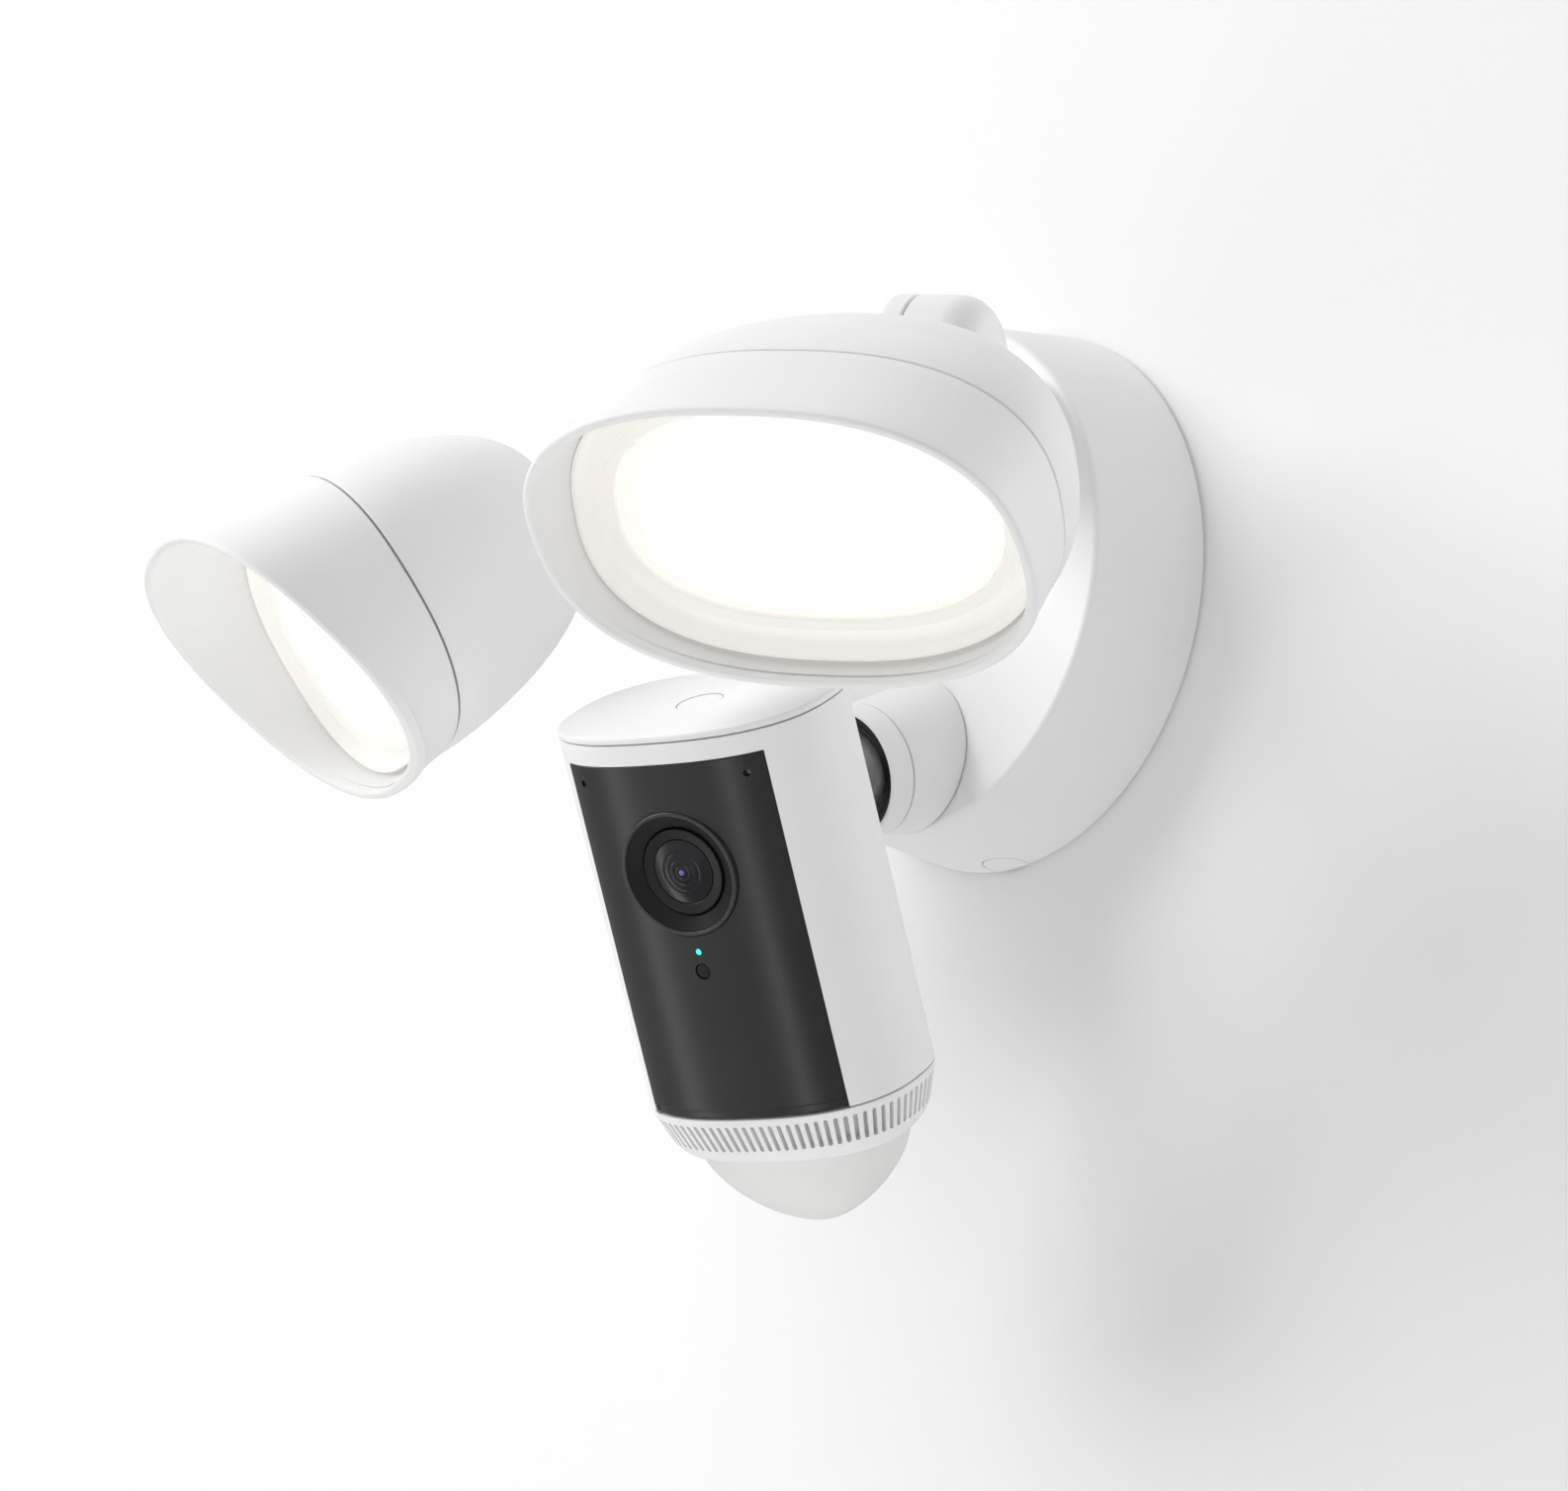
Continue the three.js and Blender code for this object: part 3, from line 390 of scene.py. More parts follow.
WHITE = textured(
    "white_shell", (0.895, 0.895, 0.895), (0.91, 0.91, 0.905), (0.52, 0.6), Specular_IOR_Level=0.3
)
CREAM_PAINTED_GLOW = textured("cream_tray", (0.88, 0.87, 0.84), (0.9, 0.89, 0.86), (0.5, 0.6))
# The tray's faint glow is painted light: it stands in for the lamp's light falling on the tray.
CREAM_PAINTED_GLOW = tuned(CREAM_PAINTED_GLOW, Emission_Color=(1.0, 0.97, 0.9, 1), Emission_Strength=0.2)
CHARCOAL = textured(
    "front_panel", (0.013, 0.013, 0.014), (0.015, 0.015, 0.016), (0.29, 0.31), grain=0.0
)
BLACK = textured(
    "black_plastic", (0.012, 0.012, 0.013), (0.015, 0.015, 0.016), (0.3, 0.34), grain=0.0
)
BLACK = tuned(BLACK, Specular_IOR_Level=0.22)
# The rim is the ring's black plastic made lighter as a painted highlight along its edge, with a
# little less roughness.
RIM_PAINTED_HIGHLIGHT = textured(
    "polished_rim_painted_highlight", (0.03, 0.03, 0.031), (0.035, 0.035, 0.036), (0.25, 0.28), grain=0.0
)
GREY = textured(
    "ball_metal", (0.24, 0.24, 0.245), (0.29, 0.29, 0.295), (0.26, 0.34), Metallic=0.6
)
RUBBER = textured("seal_rubber", (0.34, 0.34, 0.34), (0.4, 0.4, 0.4), (0.65, 0.8), grain=0.1)
FOAM = textured(
    "pale_foam", (0.68, 0.68, 0.67), (0.75, 0.75, 0.74), (0.8, 0.95), grain=0.3, scale=900.0
)
STEEL = textured("steel", (0.55, 0.56, 0.58), (0.58, 0.59, 0.61), (0.34, 0.38), Metallic=1.0)
ALUMINIUM = textured(
    "aluminium", (0.66, 0.67, 0.69), (0.74, 0.75, 0.77), (0.3, 0.42), Metallic=1.0
)
BOARD = textured(
    "circuit_board", (0.02, 0.13, 0.06), (0.035, 0.18, 0.09), (0.4, 0.55), grain=0.15, scale=600.0
)
DOME = textured(
    "dome_plastic", (0.84, 0.838, 0.828), (0.87, 0.868, 0.858), (0.3, 0.38), grain=0.02
)
# The sleeve behind the slots is dark grey as painted shade: it stands for the shaded inside of the
# band seen through the slots.
SLOT_PAINTED_SHADE = textured(
    "slot_painted_shade", (0.2, 0.2, 0.2), (0.28, 0.28, 0.28), (0.7, 0.85), grain=0.3, scale=2400.0
)
GLASS = textured(
    "lens_glass", (0.006, 0.006, 0.009), (0.009, 0.009, 0.012), (0.16, 0.2), grain=0.0
)
GLASS = tuned(GLASS, Specular_IOR_Level=0.35)
COATED_PAINTED_GLINT = textured(
    "coated_element_painted_glint", (0.05, 0.015, 0.11), (0.09, 0.03, 0.2), (0.05, 0.09), grain=0.0
)
# The pupil's violet tint and faint glow are a painted reflection, the coloured glint of a coated
# lens; the clear coat is real gloss.
COATED_PAINTED_GLINT = tuned(COATED_PAINTED_GLINT, Coat_Weight=1.0, Emission_Color=(0.3, 0.1, 0.9, 1), Emission_Strength=0.3)


def diffuser_material():
    """Milky plastic lit from behind, brightest in its middle."""
    made, nodes, links, shader = new_material("diffuser")
    glow = nodes.new("ShaderNodeAttribute")
    glow.attribute_name = "glow"
    grain = noise(nodes, links, 60.0)
    edge_tone = blended(nodes, links, glow.outputs["Fac"], (1.0, 0.97, 0.9), (1.0, 0.99, 0.96))
    links.new(edge_tone, shader.inputs["Emission Color"])
    strength = nodes.new("ShaderNodeMapRange")
    strength.inputs["To Min"].default_value = 0.3
    strength.inputs["To Max"].default_value = 0.62
    links.new(glow.outputs["Fac"], strength.inputs["Value"])
    links.new(strength.outputs["Result"], shader.inputs["Emission Strength"])
    share = spread(nodes, links, grain, 0.0, 1.0)
    links.new(
        blended(nodes, links, share, (0.86, 0.85, 0.81), (0.89, 0.88, 0.84)),
        shader.inputs["Base Color"],
    )
    shader.inputs["Roughness"].default_value = 0.4
    return made


def status_material():
    made, nodes, links, shader = new_material("status_light")
    grain = noise(nodes, links, 900.0)
    share = spread(nodes, links, grain, 0.0, 1.0)
    links.new(
        blended(nodes, links, share, (0.0, 0.72, 0.78), (0.05, 0.9, 0.9)),
        shader.inputs["Emission Color"],
    )
    shader.inputs["Emission Strength"].default_value = 1.1
    shader.inputs["Base Color"].default_value = (0.05, 0.4, 0.42, 1)
    return made


LIT = diffuser_material()
STATUS = status_material()

MATERIAL_OF_SLOT = {
    "white_shell": WHITE,
    "cream_tray": CREAM_PAINTED_GLOW,
    "diffuser": LIT,
    "front_panel": CHARCOAL,
    "black_plastic": BLACK,
    "lens_glass": GLASS,
    "ball_metal": GREY,
    "seal_rubber": RUBBER,
    "pale_foam": FOAM,
    "steel": STEEL,
    "aluminium": ALUMINIUM,
    "circuit_board": BOARD,
    "dome_plastic": DOME,
    "status_light": STATUS,
}
SLOT_OF_NODE = {s["node"]: s["material_slot"] for s in frame["record"]["subparts"]}
for node_name, node_object in frame["nodes"].items():
    node_object.data.materials.clear()
    node_object.data.materials.append(MATERIAL_OF_SLOT[SLOT_OF_NODE[node_name]])


def piece(name, shape, place, material, body, slot, *replaced):
    """A finished piece that rides on a body and stands for the CAD nodes named last."""
    mesh = bpy.data.meshes.new(name)
    bmesh.ops.remove_doubles(shape, verts=shape.verts, dist=MERGE_WITHIN)
    bmesh.ops.recalc_face_normals(shape, faces=shape.faces)
    shape.transform(place @ Matrix.Diagonal((MM, MM, MM, 1)))
    shape.to_mesh(mesh)
    shape.free()
    mesh.shade_smooth()
    mesh.set_sharp_from_angle(angle=math.radians(SHARP_FROM))
    mesh.materials.append(material)
    made = bpy.data.objects.new(name, mesh)
    bpy.context.scene.collection.objects.link(made)
    evened = made.modifiers.new("even_normals", "WEIGHTED_NORMAL")
    evened.keep_sharp = True
    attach(made, body)
    if replaced:
        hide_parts(*replaced)


# ---- Base ----

PLUG_HALF_WIDTH = 5.7
PLUG_DEPTH = 8.6
PLUG_THICKNESS = 2.5
PLUG_ARC_STEPS = 32


def base_radius(depth):
    return BASE_REAR_RADIUS + (BASE_FRONT_RADIUS - BASE_REAR_RADIUS) * depth / BASE_DEPTH


def plug_blank(margin):
    """The D-shaped outline of the screw cover, pushed down through the base's lowest wall."""
    half = PLUG_HALF_WIDTH + margin
    start = BASE_REAR
    outline = [(-half, start), (half, start)]
    for i in range(PLUG_ARC_STEPS + 1):
        angle = math.pi * i / PLUG_ARC_STEPS
        depth = PLUG_DEPTH - PLUG_HALF_WIDTH + half * math.sin(angle)
        outline.append((half * math.cos(angle), depth))
    shape = bmesh.new()
    top = [shape.verts.new((x, -depth, -(BASE_REAR_RADIUS - 8))) for x, depth in outline]
    bottom = [shape.verts.new((x, -depth, -(BASE_REAR_RADIUS + 4))) for x, depth in outline]
    shape.faces.new(top)
    shape.faces.new(bottom)
    for i in range(len(top)):
        j = (i + 1) % len(top)
        shape.faces.new((top[i], top[j], bottom[j], bottom[i]))
    bmesh.ops.remove_doubles(shape, verts=shape.verts, dist=1e-4)
    bmesh.ops.recalc_face_normals(shape, faces=shape.faces)
    return shape


def base_shell():
    inner = BASE_FRONT_RADIUS - BASE_WALL
    shell = lathe([
        (0, -BASE_DEPTH, 0),
        (BASE_FRONT_RADIUS, -BASE_DEPTH, BASE_EDGE),
        (base_radius(BASE_REAR), -BASE_REAR, 0.3),
        (base_radius(BASE_REAR) - BASE_WALL, -BASE_REAR, 0.3),
        (inner - 1, -(BASE_DEPTH - BASE_WALL), 1),
        (0, -(BASE_DEPTH - BASE_WALL), 0),
    ])
    bosses = []
    bores = []
    for place in MOUNTING.values():
        boss = rod(ARM_RADIUS + 0.6, 4, -ARM_BOSS_LENGTH, 0.5)
        behind = block((-90, 90), (-BASE_DEPTH + 1, 30), (-90, 90))
        bosses.append(cut(moved(boss, in_mm(place)), behind))
        bores.append(moved(rod(ARM_SPIGOT_RADIUS + 0.5, 20, -ARM_BOSS_LENGTH - 1), in_mm(place)))
    socket_hole = moved(rod(SEAT_RADIUS - 2, 12, -12), in_mm(SOCKET))
    return cut(joined(shell, *bosses), *bores, socket_hole, plug_blank(0.3))


def screw_plug():
    rear = BASE_REAR
    deep = PLUG_DEPTH + 2
    wall = swept([
        (base_radius(rear), -rear),
        (base_radius(deep), -deep),
        (base_radius(deep) - PLUG_THICKNESS, -deep),
        (base_radius(rear) - PLUG_THICKNESS, -rear),
    ])
    return common(wall, plug_blank(0))


piece("base_housing", base_shell(), ROOT, WHITE, "base", "white_shell", "base_cover")
piece("screw_cover", screw_plug(), ROOT, WHITE, "base", "white_shell", "screw_cover_plug")

# ---- Camera socket ----


def socket_boss():
    bore = SEAT_RADIUS + GAP
    boss = lathe([
        (SOCKET_ROOT_RADIUS, 10, 0),
        (SOCKET_ROOT_RADIUS, 0, 4),
        (SOCKET_RADIUS + 0.6, -SOCKET_LENGTH * 0.6, 8),
        (SOCKET_RADIUS, -SOCKET_LENGTH, 0.35),
        (bore, -SOCKET_LENGTH, 0.2),
        (bore, -7, 0.5),
        (9, -3.5, 0.5),
        (9, 10, 0),
    ])
    behind = moved(block((-60, 60), (-GAP, 60), (-60, 60)), turn("X", -SOCKET_LEAN))
    return cut(boss, behind)


def socket_collar():
    start = -SOCKET_LENGTH - GAP
    end = start - COLLAR_LENGTH
    return lathe([
        (SOCKET_RADIUS - 0.1, start, 0.35),
        (SOCKET_RADIUS - 0.3, end, 1.1),
        (COLLAR_OPENING, end, 0.5),
        (COLLAR_OPENING, start, 0.2),
    ])


def pocket(radius, lip, steps=24):
    """Points of a sphere about the ball's centre, from just past its middle to its rear."""
    start = math.asin(lip / radius)
    points = []
    for i in range(steps + 1):
        angle = -start + (start + QUARTER) * i / steps
        wide = 0 if i == steps else radius * math.cos(angle)
        points.append((wide, -BALL_AT + radius * math.sin(angle)))
    return points


def ball_seat():
    radius = BALL_RADIUS + LINER_THICKNESS + 2 * GAP
    lip = 3.4
    outside = rounded([
        (0, -BALL_AT + radius + 1.4, 0),
        (8, -BALL_AT + radius + 0.4, 1),
        (SEAT_RADIUS, -BALL_AT + 7, 1),
        (SEAT_RADIUS, -BALL_AT - lip, 0.5),
        (pocket(radius, lip)[0][0], -BALL_AT - lip, 0),
    ], closed=False)
    return swept([*outside, *pocket(radius, lip)], closed=False)


def ball_liner():
    inner = BALL_RADIUS + GAP
    outside = pocket(inner + LINER_THICKNESS, 3.2)
    return swept([*reversed(outside), *pocket(inner, 3.2)], closed=False)


def ball_and_stud():
    neck = 5.2
    arc = math.pi - math.asin(neck / BALL_RADIUS)
    ball = [
        (BALL_RADIUS * math.sin(arc * i / 48), BALL_RADIUS * math.cos(arc * i / 48))
        for i in range(49)
    ]
    rear_of_body = -(CAMERA_OUT - BODY_HALF_DEPTH)
    stud = rounded([
        (ball[-1][0], ball[-1][1], 0),
        (5, -13.5, 2),
        (5, rear_of_body + 6, 3),
        (8.5, rear_of_body + 2, 0.6),
        (8.5, rear_of_body + 0.5, 0.2),
        (5.1, rear_of_body + 0.5, 0),
        (5.1, rear_of_body - 8, 0.5),
        (0, rear_of_body - 8, 0),
    ], closed=False)
    return swept([*ball[:-1], *stud], closed=False)


piece("socket_root", socket_boss(), SOCKET, WHITE, "base", "white_shell", "socket_boss")
piece("socket_ring", socket_collar(), SOCKET, WHITE, "base", "white_shell", "socket_collar")
piece("ball_cup", ball_seat(), SOCKET, BLACK, "base", "black_plastic", "ball_seat")
piece("ball_cup_liner", ball_liner(), SOCKET, BLACK, "socket_liner", "black_plastic", "ball_liner")
piece("ball_joint", ball_and_stud(), CAMERA, GREY, "camera_stud", "ball_metal", "ball_stud")

# ---- Floodlights ----


def across(side):
    """Turns a shape's y axis to point out along x on one side."""
    return turn("Z", -90 * side)


def half_drum(side, near, half, rounding):
    """One half of the knuckle, from the parting face out to its rounded end."""
    drum = lathe([
        (0, near, 0),
        (DRUM_RADIUS - 0.3, near, 0.1),
        (DRUM_RADIUS, near + 0.3, 0.1),
        (DRUM_RADIUS, half, rounding),
        (0, half, 0),
    ])
    return moved(drum, across(side))


def drum_space(side, start):
    """The room that one half of the knuckle leaves for the other."""
    return moved(rod(DRUM_RADIUS + 0.6, start, BEYOND), across(side))


def pin_hole():
    """The bore for the knuckle's pin. Turned by half a facet, its edges miss the drum's own."""
    half_facet = turn("Y", 180 / ROUND_SIDES)
    return moved(rod(PIN_RADIUS + 0.3, -BEYOND, BEYOND), across(1), half_facet)


def arm_piece(side):
    end = at(0, -ARM_LENGTH, 0)
    stub = lathe([
        (ARM_BORE_RADIUS, SPIGOT_END, 0),
        (ARM_SPIGOT_RADIUS, SPIGOT_END, 0.4),
        (ARM_SPIGOT_RADIUS, -ARM_BOSS_LENGTH - 0.8, 0),
        (ARM_RADIUS, -ARM_BOSS_LENGTH - 0.8, 0.5),
        (ARM_RADIUS, -ARM_LENGTH, 0),
        (ARM_BORE_RADIUS, -ARM_LENGTH, 0),
    ])
    pin_head = at(side * (DRUM_OUTER_HALF + 1), 0, 0)
    sunk = moved(rod(PIN_HEAD_RADIUS, -4, 4), end, pin_head, across(1))
    near = DRUM_GAP / 2 - DRUM_PARTING
    drum = moved(half_drum(side, near, DRUM_OUTER_HALF, ARM_DRUM_ROUNDING), end)
    body = joined(cut(stub, moved(drum_space(-side, -near - INTO_DRUM), end)), drum)
    return cut(body, moved(pin_hole(), end), sunk)


def neck_piece(side):
    """The tube from the knuckle into the head, with a fine groove round its end."""
    tube = lathe([
        (0, 0, 0),
        (NECK_RADIUS, 0, 0),
        (NECK_RADIUS, -DOME_START + 2.6, 0.15),
        (NECK_RADIUS - 0.5, -DOME_START + 2.4, 0),
        (NECK_RADIUS - 0.5, -DOME_START + 2, 0),
        (NECK_RADIUS, -DOME_START + 1.8, 0.15),
        (NECK_RADIUS, -DOME_START + GAP, 0.2),
        (NECK_ROOT_RADIUS, -DOME_START + GAP, 0),
        (NECK_ROOT_RADIUS, -DOME_START - 7, 0.4),
        (0, -DOME_START - 7, 0),
    ])
    near = DRUM_GAP / 2 + DRUM_PARTING
    drum = half_drum(-side, near, DRUM_INNER_HALF, NECK_DRUM_ROUNDING)
    body = joined(cut(tube, drum_space(side, -near - INTO_DRUM)), drum)
    return cut(body, pin_hole())


def head_ring(half_width, half_height, forward, roundness=HEAD_ROUNDNESS):
    return [(x, -forward, z) for x, z in oval(half_width, half_height, roundness)]


def seam_ring(inset, forward):
    return head_ring(SEAM_HALF_WIDTH - inset, SEAM_HALF_HEIGHT - inset, SEAM_AT + forward)


def dome_ring(back, inset):
    """The rear housing's section: round at the neck, oval at the seam."""
    depth = SEAM_AT - DOME_START
    wide = max(0, 1 - (back / depth) ** DOME_WIDTH_CURVE) ** (1 / DOME_WIDTH_CURVE)
    high = max(0, 1 - (back / depth) ** DOME_HEIGHT_CURVE) ** (1 / DOME_HEIGHT_CURVE)
    return head_ring(
        NECK_RADIUS + (SEAM_HALF_WIDTH - NECK_RADIUS) * wide - inset,
        NECK_RADIUS + (SEAM_HALF_HEIGHT - NECK_RADIUS) * high - inset,
        SEAM_AT - back,
        2 + (HEAD_ROUNDNESS - 2) * wide,
    )


def rear_housing():
    depth = SEAM_AT - DOME_START
    steps = 44
    outside = [dome_ring(0.0, 0.3), dome_ring(0.25, 0.05)]
    outside += [dome_ring(depth * math.sin(QUARTER * i / steps), 0) for i in range(1, steps + 1)]
    radius = NECK_ROOT_RADIUS + 0.5
    opening = [head_ring(radius, radius, ahead, 2) for ahead in (DOME_START, DOME_START + 3)]
    inside = [dome_ring(back, HEAD_WALL) for back in (depth - 4.5, 44, 38, 30, 20, 10, 0)]
    rings = [*outside, *opening, *inside]
    return swept([(i,) for i in range(len(rings))], lambda i: rings[i])


def seam_gasket():
    return swept([(0.7, 0.12), (0.7, 0.48), (2, 0.48), (2, 0.12)], seam_ring)


def hood_ring(inset, share, extra):
    """The hood's section at a share of its slanted length, plus a distance forward."""
    points = []
    wide = SEAM_HALF_WIDTH + (RIM_HALF_WIDTH - SEAM_HALF_WIDTH) * share - inset
    high = SEAM_HALF_HEIGHT + (RIM_HALF_HEIGHT - SEAM_HALF_HEIGHT) * share - inset
    for x, z in oval(wide, high, HEAD_ROUNDNESS):
        length = HOOD_LENGTH - SEAM_GAP + HOOD_SLANT * z / RIM_HALF_HEIGHT
        points.append((x, -(SEAM_AT + SEAM_GAP + share * length + extra), z))
    return points


def hood():
    rim = rounded([(0, -3, 0), (0, 0, 1.1), (2.5, 0, 1.1), (2.3, -3, 0)], steps=8, closed=False)
    profile = [(0.3, 0, 0), (0.08, 0, 0.08), (0, 0, 0.3)]
    profile += [(0, share, 0) for share in (0.2, 0.4, 0.6, 0.8)]
    profile += [(inset, 1, extra) for inset, extra in rim]
    profile += [(HEAD_WALL, share, 0) for share in (0.8, 0.6, 0.4, 0.2, 0)]
    return swept(profile, hood_ring)


def tray_ring(kind, offset, forward):
    """A ring inset from the hood's wall, or one that far outside the diffuser."""
    if kind == "wall":
        return seam_ring(offset, forward)
    wide, high = DIFFUSER_HALF_WIDTH + offset, DIFFUSER_HALF_HEIGHT + offset
    return head_ring(wide, high, SEAM_AT + forward)


def reflector():
    """The tray round the lamp: a flat floor, and a raised frame with softened edges."""
    top = DIFFUSER_FORWARD
    wall_corners = rounded(
        [(2.1, 2.5, 0), (2.1, 9, 0), (3.1, 9, 0.4), (4.0, 4.6, 2.6), (9, 4.4, 0)],
        closed=False,
    )
    profile = [("wall", offset, forward) for offset, forward in wall_corners[:-1]]
    frame_corners = rounded(
        [(3.9, 4.6, 0), (3.4, 5.4, 0.6), (3.1, top, 0.6), (0.12, top, 0.5), (0.12, 2.5, 0)],
        closed=False,
    )
    profile += [("frame", offset, forward) for offset, forward in frame_corners]
    return swept(profile, tray_ring)


GLOW_FALL = 2.2


def with_glow(shape):
    """The diffuser's shape, told how brightly each point shines: less towards its edge."""
    glow = shape.verts.layers.float.new("glow")
    for vertex in shape.verts:
        x = vertex.co.x / DIFFUSER_HALF_WIDTH
        z = vertex.co.z / DIFFUSER_HALF_HEIGHT
        edge = (abs(x) ** HEAD_ROUNDNESS + abs(z) ** HEAD_ROUNDNESS) ** (1 / HEAD_ROUNDNESS)
        vertex[glow] = max(0.0, 1 - edge**GLOW_FALL)
    return shape


def diffuser():
    """A flat-backed window whose front bulges slightly towards its middle."""

    def ring(scale, forward):
        wide = DIFFUSER_HALF_WIDTH * scale
        return head_ring(wide, DIFFUSER_HALF_HEIGHT * scale, SEAM_AT + forward)

    steps = 24
    bulge = 2.0
    profile = [(0, 4), (0.97, 4), (1, 4.3), (1, 5.9), (0.995, 6.2)]
    for i in range(steps + 1):
        forward = 6.4 + bulge * math.sin(QUARTER * i / steps)
        profile.append((0.98 * (1 - i / steps), forward))
    return with_glow(swept(profile, ring, closed=False))


def arm_seal():
    """The thin rubber ring between the base's boss and the arm."""
    rear, front = -ARM_BOSS_LENGTH - 0.2, -ARM_BOSS_LENGTH - 0.6
    return lathe([(9.4, rear, 0), (12.2, rear, 0.1), (12.2, front, 0.1), (9.4, front, 0)])


def floodlight(name, side):
    """One arm and the lamp head on it, with the seal that the arm turns in."""
    arm, head = name + "_arm", name + "_lamp"
    seal_node = name + "_arm_seal"
    place = MOUNTING[name]
    piece(name + "_arm_ring", arm_seal(), place, RUBBER, "base", "seal_rubber", seal_node)
    piece(name + "_arm_tube", arm_piece(side), ARM[name], WHITE, arm, "white_shell", arm)
    for label, shape, material, slot, node in [
        ("neck", neck_piece(side), WHITE, "white_shell", "neck"),
        ("rear", rear_housing(), WHITE, "white_shell", "rear_housing"),
        ("seam", seam_gasket(), RUBBER, "seal_rubber", "seam_gasket"),
        ("hood", hood(), WHITE, "white_shell", "hood"),
        ("tray", reflector(), CREAM_PAINTED_GLOW, "cream_tray", "reflector"),
        ("diffuser", diffuser(), LIT, "diffuser", "diffuser"),
    ]:
        piece(f"{head}_{label}", shape, HEAD[name], material, head, slot, f"{name}_{node}")


for lamp_name, (lamp_side, _, _) in AIM.items():
    floodlight(lamp_name, lamp_side)

# ---- Camera ----


def body_ring(inset, below):
    section = oval(BODY_HALF_WIDTH - inset, BODY_HALF_DEPTH - inset, BODY_ROUNDNESS)
    return [(x, y, -below) for x, y in section]


def lens_hole(radius):
    return moved(rod(radius, -BEYOND, 0), at(0, 0, -LENS_BELOW_TOP))


def hole(radius, x, below):
    """A small bore through the front, which stops inside the body."""
    return moved(rod(radius, -BEYOND, -12), at(x, 0, -below))


def front_block(half_width):
    """Everything in front of the body's middle, out to a half width."""
    return block((-half_width, half_width), (-60, 0), (-200, 0))


def camera_shell():
    """The white tube, with a shallow recess for the dark front and holes for what's in it."""
    top = CAP_THICKNESS + GAP
    corners = [
        (0, top, 0.3),
        (0, BODY_LENGTH, 0.3),
        (BODY_WALL, BODY_LENGTH, 0),
        (BODY_WALL, top, 0),
    ]
    shell = swept(rounded(corners), body_ring)
    skin = swept(
        [
            (-2, PANEL_TOP - 0.2),
            (-2, BODY_LENGTH + 1),
            (PANEL_THICKNESS + GAP, BODY_LENGTH + 1),
            (PANEL_THICKNESS + GAP, PANEL_TOP - 0.2),
        ],
        body_ring,
    )
    recess = common(skin, front_block(PANEL_HALF_WIDTH + 0.2))
    stud_hole = moved(rod(5.6, 0, 60), at(0, 0, -CAMERA_TOP))
    light_hole = hole(1.4, 0, LENS_BELOW_TOP + LIGHT_BELOW_LENS)
    return cut(shell, recess, lens_hole(BEZEL_RADIUS + GAP), light_hole, stud_hole)


def front_panel():
    """The dark plate follows the body's curve. Its lower lip slants back and catches the light."""
    foot = BODY_LENGTH - 0.2
    skin = swept(
        rounded([
            (0, PANEL_TOP, 0.25),
            (0, foot - 2.1, 0.3),
            (0.45, foot - 1.9, 0.2),
            (0.6, foot, 0.25),
            (PANEL_THICKNESS, foot, 0),
            (PANEL_THICKNESS, PANEL_TOP, 0),
        ]),
        body_ring,
    )
    plate = common(skin, front_block(PANEL_HALF_WIDTH))
    microphone_below = LENS_BELOW_TOP - MICROPHONE_ABOVE_LENS
    return cut(
        plate,
        lens_hole(BEZEL_RADIUS + 0.15),
        hole(LIGHT_RADIUS + 0.12, 0, LENS_BELOW_TOP + LIGHT_BELOW_LENS),
        hole(1.95, 0, LENS_BELOW_TOP + SENSOR_BELOW_LENS),
        hole(0.8, -MICROPHONE_X, microphone_below),
        hole(0.8, MICROPHONE_X, microphone_below),
    )


def top_cap():
    """The lid: a soft edge, a fine groove round it and a round hole for the button."""
    lid = swept(
        rounded([
            (BODY_HALF_DEPTH, 0, 0),
            (0, 0, 0.9),
            (0, CAP_THICKNESS, 0.2),
            (BODY_WALL + 0.4, CAP_THICKNESS, 0),
            (BODY_WALL + 0.4, CAP_THICKNESS + 2, 0.3),
            (BODY_HALF_DEPTH, CAP_THICKNESS + 2, 0),
        ], closed=False),
        cap_ring,
        closed=False,
    )
    return cut(lid, moved(rod(BUTTON_RADIUS + 0.3, -10, 10), turn("X", 90)))


def cap_ring(inset, below):
    """A body ring that shrinks to a point in the middle."""
    share = 1 - inset / BODY_HALF_DEPTH
    flat = (BODY_HALF_WIDTH - BODY_HALF_DEPTH) * (1 - share)
    wide = max(0.0, BODY_HALF_WIDTH - inset - flat * (inset / BODY_HALF_DEPTH))
    if inset >= BODY_HALF_DEPTH:
        wide = 0.0
    section = oval(wide, max(0.0, BODY_HALF_DEPTH - inset), BODY_ROUNDNESS)
    return [(x, y, -below) for x, y in section]


def setup_button():
    return lathe([
        (0, -0.12, 0),
        (BUTTON_RADIUS, -0.12, 0.3),
        (BUTTON_RADIUS, -2.6, 0.2),
        (0, -2.6, 0),
    ])


def lens_bezel():
    """The outer ring: a thin raised rim and a broad slope down to the barrel."""
    front = LENS_FRONT
    return lathe([
        (BEZEL_RADIUS - 0.1, front + 4.5, 0.2),
        (BEZEL_RADIUS - 0.1, front + 0.5, 0.1),
        (BEZEL_RADIUS - 1.2, front + 0.5, 0.1),
        (BARREL_RADIUS + 0.5, front + 2.3, 0.3),
        (BARREL_RADIUS + 0.3, front + 2.5, 0.1),
        (BARREL_RADIUS + 0.3, front + 4.5, 0),
    ])


